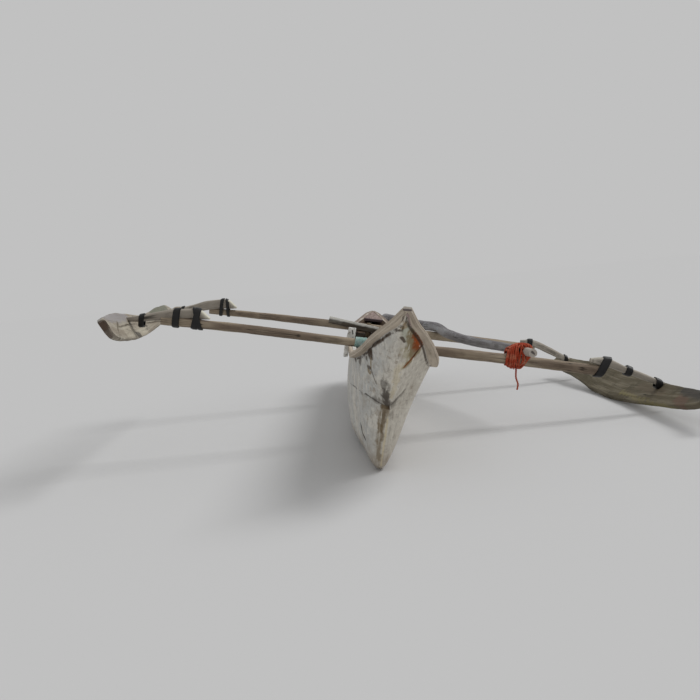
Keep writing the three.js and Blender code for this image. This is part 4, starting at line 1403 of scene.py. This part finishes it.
@dataclass
class Booms:
    """The two booms that cross the hull, and the four arms that carry the floats."""

    skew: float = -0.036
    front_y: float = -984
    rear_y: float = 1069
    front: tuple[Row, ...] = (
        (-1500, 604, 30), (-900, 612, 30), (-250, 606, 27), (250, 610, 32), (800, 612, 34), (1410, 606, 35),
    )
    rear: tuple[Row, ...] = (
        (-1500, 606, 27), (-800, 614, 32), (0, 613, 37), (700, 612, 37), (1400, 605, 32),
    )
    arm_rows: dict[str, tuple[float, tuple[Row, ...]]] = field(default_factory=lambda: {
        "front_starboard": (14, (
            (-1180, 652, 22, 6), (-1262, 673, 34, 35), (-1400, 656, 36, 34), (-1500, 636, 36, 31),
            (-1650, 598, 31, 20), (-1800, 572, 26, 11),
        )),
        "front_port": (12, (
            (1350, 666, 22, 15), (1430, 666, 32, 29), (1590, 628, 34, 23), (1720, 595, 31, 21),
            (1900, 546, 27, 16),
        )),
        "rear_starboard": (-8, (
            (-1262, 662, 26, 8), (-1350, 683, 38, 41), (-1510, 654, 38, 42), (-1660, 606, 34, 34),
            (-1830, 552, 28, 22),
        )),
        "rear_port": (-6, (
            (1275, 648, 24, 15), (1370, 646, 34, 30), (1530, 600, 35, 30), (1650, 555, 33, 27),
            (1800, 498, 28, 19),
        )),
    })
    arm_square: float = 0.72

    def boom(self, end: str) -> Table:
        """Middle, half-width and half-height against x of the front or rear boom."""
        rows, y = (self.front, self.front_y) if end == "front" else (self.rear, self.rear_y)
        return Table(tuple((x, y + self.skew * x, z, r, r) for x, z, r in rows))

    def arm(self, name: str) -> Table:
        """An arm's rows.

        Args:
            name: Its end and side.

        Returns:
            Middle, half-width and half-height against x.
        """
        aft, rows = self.arm_rows[name]
        y = (self.front_y if name.startswith("front") else self.rear_y) + aft
        return Table(tuple((x, y + self.skew * x, z, w, h) for x, z, w, h in sorted(rows)))

    def build(self, boom_wood: Material, arm_wood: Material) -> None:
        """Makes the booms and the arms.

        Args:
            boom_wood: Finish of the booms.
            arm_wood: Finish of the arms.
        """
        for i, end in enumerate(("front", "rear")):
            seed = 3.0 * i + 1
            Pole(f"boom_{end}_pole", f"boom_{end}", self.boom(end), 1.0, seed, seed).build(boom_wood)
        for i, name in enumerate(self.arm_rows):
            seed, table = 2.3 * i + 8, self.arm(name)
            Pole(f"arm_{name}_pole", f"arm_{name}", table, self.arm_square, seed, seed).build(arm_wood)


BOOMS = Booms()
SPAR = Pole("spar_pole", "spar", Table(tuple((y, x, z, r, r) for y, x, z, r in (
    # y, x, z, radius
    (-1128, 948, 676, 27), (-1000, 915, 677, 29), (-530, 850, 664, 32), (215, 705, 646, 36),
    (720, 600, 656, 39), (1069, 523, 691, 41), (1500, 428, 678, 43), (2200, 280, 668, 45),
    (2850, 145, 662, 47),
))), seed=5.0, along_boat=True, wave=0.007, knobs=0.7, step=16.0, soft=0.005)


@dataclass
class FloatPlank:
    """A float: a thick plank on edge, canted with its top outboard."""

    side: Side
    foot: float
    table: Table
    thick: float = 45
    cant: float = math.radians(41)
    skew: float = -0.046
    points: int = 44
    square: float = 0.3
    step: float = 12.0
    recess: float = 0.0
    recess_from: float = -1553
    recess_slant: float = 300
    recess_fade: tuple[float, float] = (150, 500)
    edge: float = 26
    batten: float = 0.68
    batten_edge: float = 9

    def sunk(self, y: float, up: float, slant: float) -> float:
        """Depth of the shallow recess in the inboard face, below the batten along its top.

        Args:
            y: Place along the boat, in millimetres.
            up: Distance up the face.
            slant: The face's whole height there.

        Returns:
            The depth in millimetres.
        """
        start = self.recess_from + self.recess_slant * up / slant
        along = eased(y, start, start + self.edge) * eased(-y, *self.recess_fade)
        return self.recess * along * eased(slant * self.batten - up, 0, self.batten_edge)

    def ring(self, y: float) -> Ring:
        """One ring of the plank.

        Args:
            y: Place along the boat, in millimetres.

        Returns:
            The ring's points and the grain's run.
        """
        z0, slant = self.table.at(y)
        sign = self.side.value
        tilt_x, tilt_z = math.sin(self.cant), math.cos(self.cant)
        points, grain = [], []
        for _, c, s, u, v in section(self.points, self.square, 0.5):
            worn = wobble(y * 0.006, c + sign, s, 2.4) + wobble(y * 0.025, c * 2, s * 2 + sign, 1.0)
            up = slant / 2 + u * (slant / 2 + worn)
            out = self.thick / 2 + v * (self.thick / 2 + worn * 0.6)
            out += self.sunk(y, up, slant) * max(0.0, -v)
            x = self.foot_at(y) + sign * (tilt_x * up + tilt_z * out)
            points.append(Vector((x, y, z0 + tilt_z * up - tilt_x * out)) * MM)
            grain.append((y * MM, up * MM + sign, v * 0.02))
        return points, grain

    def foot_at(self, y: float) -> float:
        """Where the float's foot lies across the boat at y, in millimetres."""
        return self.foot + self.skew * (y - BOOMS.front_y)

    def build(self, wood: Material) -> None:
        """Makes the float.

        Args:
            wood: Its finish.
        """
        name = f"float_{self.side.name.lower()}"
        rings = [self.ring(y) for y in self.table.places(self.step)]
        Workshop.drawn(f"{name}_plank", rings, wood, name, 0.006, -0.001)


FLOATS = {
    Side.STARBOARD: FloatPlank(Side.STARBOARD, -1632, Table((
        # y, z, slant
        (-1850, 590, 56), (-1760, 558, 105), (-1650, 530, 140), (-1500, 510, 165), (-1300, 495, 188),
        (-1100, 485, 198), (-880, 478, 190), (-620, 481, 165), (-400, 490, 140), (-140, 512, 132),
        (140, 545, 122), (500, 556, 116), (850, 538, 74), (1120, 522, 116), (1500, 540, 84),
    )), recess=9),
    Side.PORT: FloatPlank(Side.PORT, 1726, Table((
        (-1930, 565, 58), (-1750, 518, 114), (-1600, 494, 140), (-1370, 470, 159), (-1080, 443, 181),
        (-680, 407, 229), (-250, 386, 268), (80, 390, 264), (390, 425, 214), (660, 446, 166),
        (1000, 458, 134), (1250, 486, 92),
    ))),
}


class Bundle:
    """A convex body round several pieces, which straps and ropes are pulled tight over."""

    def __init__(self, points: Iterable[Vector]) -> None:
        """Wraps the points.

        Args:
            points: Points in metres that the body must hold.
        """
        bm = bmesh.new()
        for point in points:
            bmesh.ops.create_vert(bm, co=point)
        bmesh.ops.convex_hull(bm, input=bm.verts[:])
        bmesh.ops.recalc_face_normals(bm, faces=bm.faces[:])
        self.planes = [(f.normal.copy(), f.calc_center_median()) for f in bm.faces]
        self.middle = sum((v.co for v in bm.verts), Vector()) / len(bm.verts)
        bm.free()

    def reach(self, origin: Vector, way: Vector) -> float:
        """Distance in metres from a point inside to the surface, looking along a unit vector."""
        ahead = [(n.dot(way), n.dot(c - origin)) for n, c in self.planes]
        return min(gap / slope for slope, gap in ahead if slope > 1e-6)

    def over(self, origin: Vector, across: Vector, angle: float, lift: float) -> Vector:
        """The place a lift over the surface, at an angle up from level, seen from a point inside."""
        way = across * math.cos(angle) + Vector((0, 0, math.sin(angle)))
        return origin + way * (self.reach(origin, way) + lift)

    def outline(self, origin: Vector, across: Vector, count: int, lift: float) -> list[Vector]:
        """A closed line round the body in an upright plane, with its corners eased.

        Args:
            origin: A point inside, in that plane.
            across: Level unit vector in the plane.
            count: Number of points.
            lift: Height of the line above the surface.

        Returns:
            The points in order.
        """
        made = [self.over(origin, across, 2 * math.pi * k / count, lift) for k in range(count)]
        pairs = zip([made[-1], *made[:-1]], made, [*made[1:], made[0]])
        return [p * 0.25 + q * 0.5 + r * 0.25 for p, q, r in pairs]


@dataclass(frozen=True)
class Band:
    """One rubber strap: its edges from the boat's middle outwards, and its lean per unit of height."""

    near: float
    far: float
    lean: float = 0.0


@dataclass
class Straps:
    """Rubber straps round the booms, arms and floats, each wound in layers that don't quite line up."""

    thick: float = 0.0042
    clear: float = 0.0004
    layers: int = 3
    slip: float = 7.0
    tuck: tuple[float, float] = (0.12, 0.1)
    skew: float = 0.16
    round_count: int = 44
    across: int = 5
    boom_bands: dict[str, tuple[tuple[Band, ...], ...]] = field(default_factory=lambda: {
        "front_starboard": ((Band(1240, 1276, -0.32), Band(1246, 1288, 0.12)), (Band(1376, 1424),)),
        "front_port": ((Band(1404, 1462, 0.42),),),
        "rear_starboard": ((Band(1322, 1350, -0.12),), (Band(1378, 1408),)),
        "rear_port": ((Band(1330, 1374),),),
    })
    arm_band: Band = Band(1580, 1626, 0.3)
    float_bands: dict[str, Band] = field(default_factory=lambda: {
        "front_starboard": Band(1613, 1649),
        "front_port": Band(1786, 1832),
        "rear_starboard": Band(1722, 1754),
        "rear_port": Band(1668, 1700),
    })
    bite: float = 14
    foot_share: float = 0.8
    hang: dict[str, float] = field(default_factory=lambda: {
        "front_starboard": 28, "front_port": 16, "rear_starboard": 20, "rear_port": 16,
    })

    @staticmethod
    def side_of(name: str) -> Side:
        """The side that an arm's name ends in."""
        return Side[name.split("_")[1].upper()]

    def in_float(self, name: str, x: float) -> list[Vector]:
        """The points in or over a float where its strap ends.

        Args:
            name: The arm's name.
            x: The place, in millimetres.

        Returns:
            Two points in metres.
        """
        plank = FLOATS[self.side_of(name)]
        y, middle, half, tall = BOOMS.arm(name).at(x)
        outboard = max(0.0, (x - plank.foot_at(y)) * plank.side.value)
        face = plank.table.at(y)[0] + outboard / math.tan(plank.cant)
        z = max(face - self.bite, middle - tall - self.hang[name])
        return [Vector((x, y + side * self.foot_share * half, z)) * MM for side in (-1, 1)]

    def wind(self, shell: Shell, points: Outline, band: Band, sign: int, layer: int) -> None:
        """Adds one layer of a strap.

        Args:
            shell: The strap's skin.
            points: What the strap goes round at a place across the boat.
            band: The strap's edges and lean.
            sign: Sign of X on this side.
            layer: Number of the layer, from 0 inside.
        """
        slip = wobble(band.near * 0.01, layer * 3.3, 0.0, self.slip) if layer else 0.0
        near, far = band.near + slip, band.far + slip * 0.6
        if layer:
            near, far = near + (far - near) * self.tuck[0], far - (far - near) * self.tuck[1]
        bundle = Bundle([p for x in (near - 2, far + 2) for p in points(sign * x)])
        lean = band.lean + wobble(layer * 1.7, band.far * 0.02, 1.0, self.skew)
        base, edge = self.clear + self.thick * 0.8 * layer, self.thick * 0.8
        face = [(near + (far - near) * k / self.across, base + self.thick) for k in range(1, self.across)]
        columns = [(near, base), (near, base + edge), *face, (far, base + edge), (far, base)]
        rings = []
        for x, over in columns:
            origin = Vector((sign * x * MM, bundle.middle.y, bundle.middle.z))
            line = bundle.outline(origin, Vector((0, 1, 0)), self.round_count, over)
            leaned = [p + Vector((lean * (p.z - bundle.middle.z), 0, 0)) for p in line]
            grain = [(k * 0.006, x * MM, layer * 0.1) for k in range(self.round_count)]
            rings.append((leaned, grain))
        shell.skin(rings)
        shell.join_ends()

    def strap(self, name: str, points: Outline, bands: Sequence[Band], sign: int, rubber: Material) -> None:
        """Makes one strap, each of its bands in several layers.

        Args:
            name: Its name, which is the solid's too.
            points: What the strap goes round at a place across the boat.
            bands: The bands' edges and lean.
            sign: Sign of X on this side.
            rubber: Its finish.
        """
        shell = Shell()
        for band in bands:
            for layer in range(self.layers):
                self.wind(shell, points, band, sign, layer)
        Workshop.piece(f"{name}_rubber", shell.bm, (rubber,), (name,), crease=50)

    def build(self, rubber: Material) -> None:
        """Makes all the straps from one rubber.

        Args:
            rubber: Their finish.
        """
        for name, bands in self.boom_bands.items():
            sign = self.side_of(name).value
            boom, arm = BOOMS.boom(name.split("_")[0]), BOOMS.arm(name)
            both = lambda x: around(boom, x) + around(arm, x, BOOMS.arm_square)
            footed = lambda x: around(arm, x, BOOMS.arm_square) + self.in_float(name, x)
            for i, group in enumerate(bands):
                self.strap(f"strap_{name}_{i + 1}", both, group, sign, rubber)
            self.strap(f"strap_{name}_{len(bands) + 1}", footed, (self.float_bands[name],), sign, rubber)
        arm = BOOMS.arm("front_port")
        alone = lambda x: around(arm, x, BOOMS.arm_square)
        self.strap("strap_front_port_3", alone, (self.arm_band,), Side.PORT.value, rubber)


@dataclass
class Strand:
    """Three-strand rope that follows a line."""

    diameter: float = 0.012
    lobes: int = 3
    sides: int = 12
    lay: float = 0.045
    step: float = 0.005
    core: float = 0.93
    swell: float = 0.09
    packing: float = 0.98

    def along(self, path: Sequence[Vector], closed: bool = False) -> list[Vector]:
        """Even steps along a smooth curve.

        Args:
            path: The points that the rope goes through.
            closed: Whether the last point leads to the first.

        Returns:
            Points a step apart.
        """
        fine = []
        count = len(path)
        for i in range(count if closed else count - 1):
            pick = lambda j: path[j % count] if closed else path[min(count - 1, max(0, j))]
            a, b, c, d = pick(i - 1), pick(i), pick(i + 1), pick(i + 2)
            for k in range(6):
                t = k / 6
                bend = (a * 2 - b * 5 + c * 4 - d) * t**2 + (b * 3 - a - c * 3 + d) * t**3
                fine.append((b * 2 + (c - a) * t + bend) / 2)
        if not closed:
            fine.append(path[-1].copy())
        made, left = [fine[0]], self.step
        for a, b in zip(fine, fine[1:]):
            span = (b - a).length
            while span >= left:
                a = a + (b - a) * (left / span)
                made.append(a)
                span, left = (b - a).length, self.step
            left -= span
        if not closed and (made[-1] - path[-1]).length > self.step * 0.3:
            made.append(path[-1].copy())
        return made

    def lay_on(self, shell: Shell, path: Sequence[Vector], closed: bool = False) -> None:
        """Adds rope along a line.

        Args:
            shell: The skin to add it to.
            path: The points that the rope goes through, in metres.
            closed: Whether it closes on itself.
        """
        line = self.along(path, closed)
        up = Vector((0.13, 0.21, 0.97)).normalized()
        rings = []
        for i, point in enumerate(line):
            ahead, behind = line[min(i + 1, len(line) - 1)], line[max(i - 1, 0)]
            way = (ahead - behind).normalized()
            up = (up - way * up.dot(way)).normalized()
            side = way.cross(up)
            turn = 2 * math.pi * i * self.step / self.lay
            ring, grain = [], []
            for k in range(self.sides):
                a = 2 * math.pi * k / self.sides
                lobe = math.cos(self.lobes * (a - turn))
                radius = self.diameter / 2 * (self.core + self.swell * lobe)
                ring.append(point + (up * math.cos(a) + side * math.sin(a)) * radius)
                # the third number is 1 in the grooves, where the rope's finish paints shade
                grain.append((i * self.step, a * self.diameter / 2, 0.5 - 0.5 * lobe))
            rings.append((ring, grain))
        shell.skin(rings)
        shell.cap()


@dataclass
class BoomLashings:
    """Ropes that bind each boom to the tie beam below it."""

    beam_half: float = 31
    beam_bottom: float = 530
    rope: Strand = field(default_factory=Strand)
    places: tuple[tuple[str, Side, float, float], ...] = (
        ("front", Side.PORT, 96, 152),
        ("front", Side.STARBOARD, 112, 170),
        ("rear", Side.PORT, 102, 152),
        ("rear", Side.STARBOARD, 52, 98),
    )
    sleeve: tuple[float, float] = (152, 207)
    inset: float = 6
    sleeve_steps: int = 24
    coil_steps: int = 30

    def coil(self, near: float, far: float, count: int) -> Iterable[tuple[int, float, float]]:
        """Steps along a close coil.

        Args:
            near: Where it starts, in millimetres from the middle.
            far: Where it ends.
            count: Steps in a turn.

        Yields:
            The step's number, its angle and its place from the middle.
        """
        turns = round((far - near) / (self.rope.diameter / MM * self.rope.packing))
        for k in range(turns * count + 1):
            x = near + self.inset + (far - near - 2 * self.inset) * k / (turns * count)
            yield k, 2 * math.pi * k / count, x

    def wrapping(self) -> list[Vector]:
        """The turquoise rope's outer turns, which go round the boom alone.

        Returns:
            Points in metres.
        """
        boom = BOOMS.boom("front")
        made = []
        for _, a, x in self.coil(*self.sleeve, self.sleeve_steps):
            y, z, half, _ = boom.at(-x)
            over = half + self.rope.diameter / MM * 0.5
            made.append(Vector((-x, y + over * math.cos(a), z + over * math.sin(a))) * MM)
        return made

    def helix(self, end: str, side: Side, near: float, far: float) -> list[Vector]:
        """The rope's line.

        Args:
            end: front or rear boom.
            side: Which side of the boat.
            near: Where it starts, in millimetres from the middle.
            far: Where it ends.

        Returns:
            Points in metres.
        """
        y = BOOMS.front_y if end == "front" else BOOMS.rear_y
        points = []
        for x in (side.value * near, side.value * far):
            low = [Vector((x, y + share * self.beam_half, self.beam_bottom)) * MM for share in (-1, 1)]
            points += around(BOOMS.boom(end), x) + low
        bundle = Bundle(points)
        made = []
        for k, a, x in self.coil(near, far, self.coil_steps):
            origin = Vector((x * side.value * MM, bundle.middle.y, bundle.middle.z))
            lift = self.rope.diameter * (0.5 + 0.08 * math.sin(k * 0.7))
            made.append(bundle.over(origin, Vector((0, 1, 0)), a, lift))
        return made

    def build(self, plain: Material, bright: Material) -> None:
        """Makes the four lashings.

        Args:
            plain: Finish of the plain rope.
            bright: Finish of the turquoise rope.
        """
        for end, side, near, far in self.places:
            shell = Shell()
            self.rope.lay_on(shell, self.helix(end, side, near, far))
            name = f"rope_lashing_{end}_{side.name.lower()}"
            sleeved = (end, side) == ("front", Side.STARBOARD)
            if sleeved:
                self.rope.lay_on(shell, self.wrapping())
            rope = bright if sleeved else plain
            Workshop.piece(f"{name}_coil", shell.bm, (rope,), (name,), crease=60)


@dataclass(frozen=True)
class Turns:
    """Some turns of a lashing that lie side by side."""

    count: int
    facing: float
    middle: float
    width: float
    lift: float


@dataclass
class SparLashing:
    """The orange rope that ties the spar to the front boom, and its hanging tail."""

    near: float = 764
    far: float = 894
    fore: float = -1030
    aft: float = -917
    points: int = 28
    heap: float = 0.35
    uneven: float = 0.003
    sway: float = 0.007
    turned: float = 9.0
    rope: Strand = field(default_factory=Strand)
    layers: tuple[Turns, ...] = (
        Turns(6, 2, -0.045, 0.062, 0.9),
        Turns(5, 34, 0.004, 0.080, 1.3),
        Turns(6, -30, 0.000, 0.084, 2.2),
        Turns(4, 6, -0.040, 0.046, 2.6),
        Turns(4, 48, 0.012, 0.040, 3.0),
        Turns(3, -12, -0.018, 0.034, 3.9),
    )
    tail: tuple[Point, ...] = (
        (0.81694, -1.040, 0.37761),
        (0.81694, -1.040, 0.35961),
        (0.81194, -1.0425, 0.31011),
        (0.82194, -1.0375, 0.26511),
        (0.81194, -1.0425, 0.22761),
    )

    def bundle(self) -> Bundle:
        """The spar and the boom where they cross.

        Returns:
            The body round both.
        """
        boom = BOOMS.boom("front")
        points = [p for x in (self.near, self.far) for p in around(boom, x)]
        for y in (self.fore, self.aft):
            x, z, radius, _ = SPAR.table.at(y)
            points += [Vector((x + radius * c, y, z + radius * s)) * MM for _, c, s, *_ in section(16)]
        return Bundle(points)

    def loop(self, bundle: Bundle, turns: Turns, number: int) -> list[Vector]:
        """One turn round the crossing.

        Args:
            bundle: The body that it goes round.
            turns: The turns that it belongs to.
            number: Its number among them.

        Returns:
            Points in metres.
        """
        seed = turns.facing * 0.37 + number * 1.9
        facing = math.radians(turns.facing + wobble(seed, 0.3, 0.0, self.turned))
        axis = Vector((math.cos(facing), math.sin(facing), 0))
        across = Vector((-axis.y, axis.x, 0))
        share = (number + 0.5) / turns.count - 0.5
        origin = bundle.middle + axis * (turns.width * share) + Vector((turns.middle, 0, 0))
        made = []
        for k, (a, _, s, *_) in enumerate(section(self.points)):
            heap = 1.0 + self.heap * max(0.0, s)
            lift = self.rope.diameter / 2 * turns.lift * heap + wobble(k * 0.35, seed, 3.0, self.uneven)
            sway = axis * wobble(k * 0.22, seed, 8.0, self.sway)
            made.append(bundle.over(origin, across, a, lift) + sway)
        return made

    def build_tail(self, rope: Material) -> None:
        """Makes the free end of the rope, which hangs.

        Args:
            rope: Its finish.
        """
        shell = Shell()
        self.rope.lay_on(shell, [Vector(p) for p in self.tail])
        bmesh.ops.transform(shell.bm, matrix=BERTH.matrix().inverted(), verts=shell.bm.verts[:])
        tail = Workshop.piece("rope_tail_end", shell.bm, (rope,), ("rope_tail",), crease=60)
        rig.cord(
            tail, exit=self.tail[0], length=0.15, diameter=0.012, far_end="bare", stiffness="medium",
            lay="hanging", path=self.tail,
        )

    def build(self, rope: Material) -> None:
        """Makes the lashing.

        Args:
            rope: Its finish.
        """
        bundle = self.bundle()
        shell = Shell()
        for turns in self.layers:
            for number in range(turns.count):
                self.rope.lay_on(shell, self.loop(bundle, turns, number), True)
        Workshop.piece("rope_lashing_spar_coil", shell.bm, (rope,), ("rope_lashing_spar",), crease=60)


@dataclass
class Post:
    """The short white post at the starboard rail, lapped over the rail and chipped."""

    x: float = -228
    y: float = -884
    across: float = 49
    along: float = 44
    bottom: float = 498
    shoulder: float = 580
    top: float = 697
    rail_face: float = -240.5
    spread: float = 14
    cuts: int = 7
    bevel: float = 4
    crumb_top: float = 1.6
    crumb_foot: float = 6.0
    chips: float = 8.0

    def block(self) -> bmesh.types.BMesh:
        """The post's plain shape: a head, and a foot outside the rail that spreads outwards.

        Returns:
            Its mesh.
        """
        bm = bmesh.new()
        bmesh.ops.create_cube(bm, size=1.0)
        tall = self.top - self.shoulder
        bmesh.ops.scale(bm, vec=Vector((self.across, self.along, tall)) * MM, verts=bm.verts[:])
        middle = Vector((self.x, self.y, self.shoulder + tall / 2)) * MM
        bmesh.ops.translate(bm, vec=middle, verts=bm.verts[:])
        cut = Vector((self.rail_face, 0, 0)) * MM
        whole = bm.verts[:] + bm.edges[:] + bm.faces[:]
        bmesh.ops.bisect_plane(bm, geom=whole, plane_co=cut, plane_no=(1, 0, 0))
        foot = [f for f in bm.faces if f.normal.z < -0.9 and f.calc_center_median().x < cut.x]
        made = bmesh.ops.extrude_face_region(bm, geom=foot)["geom"]
        moved = [v for v in made if isinstance(v, bmesh.types.BMVert)]
        bmesh.ops.translate(bm, vec=Vector((0, 0, self.bottom - self.shoulder)) * MM, verts=moved)
        bmesh.ops.delete(bm, geom=foot, context="FACES_ONLY")
        face, low = (self.x - self.across / 2 + 1) * MM, (self.shoulder + 1) * MM
        outer = [v for v in bm.verts if v.co.x < face and v.co.z < low]
        bmesh.ops.translate(bm, vec=Vector((-self.spread, 0, 0)) * MM, verts=outer)
        return bm

    def build(self, paint: Material) -> None:
        """Makes the post.

        Args:
            paint: Its finish.
        """
        bm = self.block()
        soft = {"offset": self.bevel * MM, "segments": 2, "profile": 0.5}
        bmesh.ops.bevel(bm, geom=bm.edges[:], affect="EDGES", material=-1, **soft)
        bmesh.ops.subdivide_edges(bm, edges=bm.edges[:], cuts=self.cuts, use_grid_fill=True)
        for vert in bm.verts:
            size = self.crumb_foot if vert.co.z < self.shoulder * MM else self.crumb_top
            crumb = noise.noise(vert.co * 90) * size
            chip = min(0.0, noise.noise(vert.co * 28 + Vector((3, 1, 2))) + 0.2) * self.chips
            vert.co += vert.normal * (crumb + chip) * MM
        Workshop.piece("post_starboard_chipped", bm, (paint,), ("post_starboard",), crease=50)


@dataclass
class CarriedPieces:
    """The boards and frames inside the hull, which keep their solids and get wood and softened edges."""

    edge: float = 0.0025
    weld: float = 1e-5
    nodes: dict[str, tuple[str, ...]] = field(default_factory=lambda: {
        "deck": ("bow_deck", "stern_deck"),
        "crossways": ("tie_beam_front", "tie_beam_rear", "seat_board", "mast_board", "cross_board"),
        "frame": ("frame_1", "frame_2", "frame_3", "frame_4", "frame_5", "mast_step"),
    })

    def build(self, woods: dict[str, Material]) -> None:
        """Finishes the solids.

        Args:
            woods: The woods by name.
        """
        for wood, nodes in self.nodes.items():
            for name in nodes:
                piece = frame["nodes"][name]
                piece.data.materials.clear()
                piece.data.materials.append(woods[wood])
                weld = piece.modifiers.new("weld", "WELD")
                weld.merge_threshold = self.weld
                bevel = piece.modifiers.new("bevel", "BEVEL")
                bevel.width, bevel.segments, bevel.limit_method = self.edge, 2, "ANGLE"
                LOG.info("%s: dressed", name)


@dataclass
class Studio:
    """The camera, a plain pale floor and soft light."""

    place: Point = (-0.20872, -6.95, 1.03267)
    right: Point = (0.995205, 0.001368, -0.097804)
    ahead: Point = (-0.008585, 0.997265, -0.073415)
    above: Point = (0.097436, 0.073902, 0.992494)
    lens: float = 46.2857
    floor_size: float = 400.0
    floor_colour: str = "#cbcbcb"
    sky: str = "#c1c1c1"
    to_sun: Point = (0.75, 0.30, 0.95)
    sun_angle: float = math.radians(28)
    sun_strength: float = 1.45

    def aim(self) -> None:
        """Makes the camera at the photo's viewing angle."""
        camera = bpy.data.objects.new("camera", bpy.data.cameras.new("camera"))
        camera.data.lens = self.lens
        camera.data.sensor_width = 36.0
        columns = (Vector(self.right), Vector(self.above), -Vector(self.ahead))
        turn = Matrix(columns).transposed().to_4x4()
        camera.matrix_world = Matrix.Translation(self.place) @ turn
        link(camera)
        bpy.context.scene.camera = camera

    def lay_floor(self) -> None:
        """Makes the floor."""
        bm = bmesh.new()
        bmesh.ops.create_grid(bm, x_segments=1, y_segments=1, size=self.floor_size / 2)
        mesh = bpy.data.meshes.new("floor")
        bm.to_mesh(mesh)
        bm.free()
        bench = Bench("pale_floor")
        bench.dress(linear(self.floor_colour), 1.0, 0.0)
        mesh.materials.append(bench.material)
        floor = bpy.data.objects.new("floor", mesh)
        link(floor)
        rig.stage(floor)

    def light(self) -> None:
        """Makes the soft light: a pale sky all round and a hazy sun high at the port side."""
        world = bpy.data.worlds.new("sky")
        world.use_nodes = True
        background = world.node_tree.nodes["Background"]
        background.inputs["Color"].default_value = linear(self.sky)
        background.inputs["Strength"].default_value = 1.0
        bpy.context.scene.world = world
        sun = bpy.data.objects.new("sun", bpy.data.lights.new("sun", "SUN"))
        sun.data.energy = self.sun_strength
        sun.data.angle = self.sun_angle
        sun.rotation_mode = "QUATERNION"
        sun.rotation_quaternion = Vector(self.to_sun).to_track_quat("Z", "Y")
        link(sun)
        bpy.context.scene.view_settings.view_transform = "Standard"

    def build(self) -> None:
        """Sets up camera, floor and light."""
        self.aim()
        self.lay_floor()
        self.light()


def write_sizes(cad: tuple[Vector, Vector]) -> None:
    """Writes the box of the solids and the box of the finished pieces.

    Args:
        cad: Lowest and highest corner of the solids.
    """
    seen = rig.bounds()
    sizes = {"cad": [list(corner) for corner in cad], "visual": [list(corner) for corner in seen]}
    with open("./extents.json", "w") as file:
        json.dump(sizes, file)


def main() -> None:
    """Builds the canoe piece by piece."""
    logging.basicConfig(level=logging.INFO, format="%(message)s")
    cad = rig.bounds()
    Studio().build()
    orange = Rope("orange_rope", "#cc5234", "#e0896a", "#63251c").make()
    lashing = SparLashing()
    lashing.build_tail(orange)
    woods = {name: wood.make() for name, wood in WOODS.items()}
    wash = Limewash().make()
    Hull().build(wash, woods["interior"])
    RAILS.build(woods["rail"])
    BOOMS.build(woods["brown_pole"], woods["grey_pole"])
    SPAR.build(woods["spar"])
    FLOATS[Side.STARBOARD].build(woods["float_pale"])
    FLOATS[Side.PORT].build(woods["float_dull"])
    Straps().build(Rubber().make())
    brown = Rope("brown_rope", "#75654f", "#94866f", "#3a2f23").make()
    turquoise = Rope("turquoise_rope", "#b2d4cd", "#cfe3de", "#5b7773").make()
    BoomLashings().build(brown, turquoise)
    lashing.build(orange)
    Post().build(Paint().make())
    CarriedPieces().build(woods)
    write_sizes(cad)


if __name__ == "__main__":
    main()
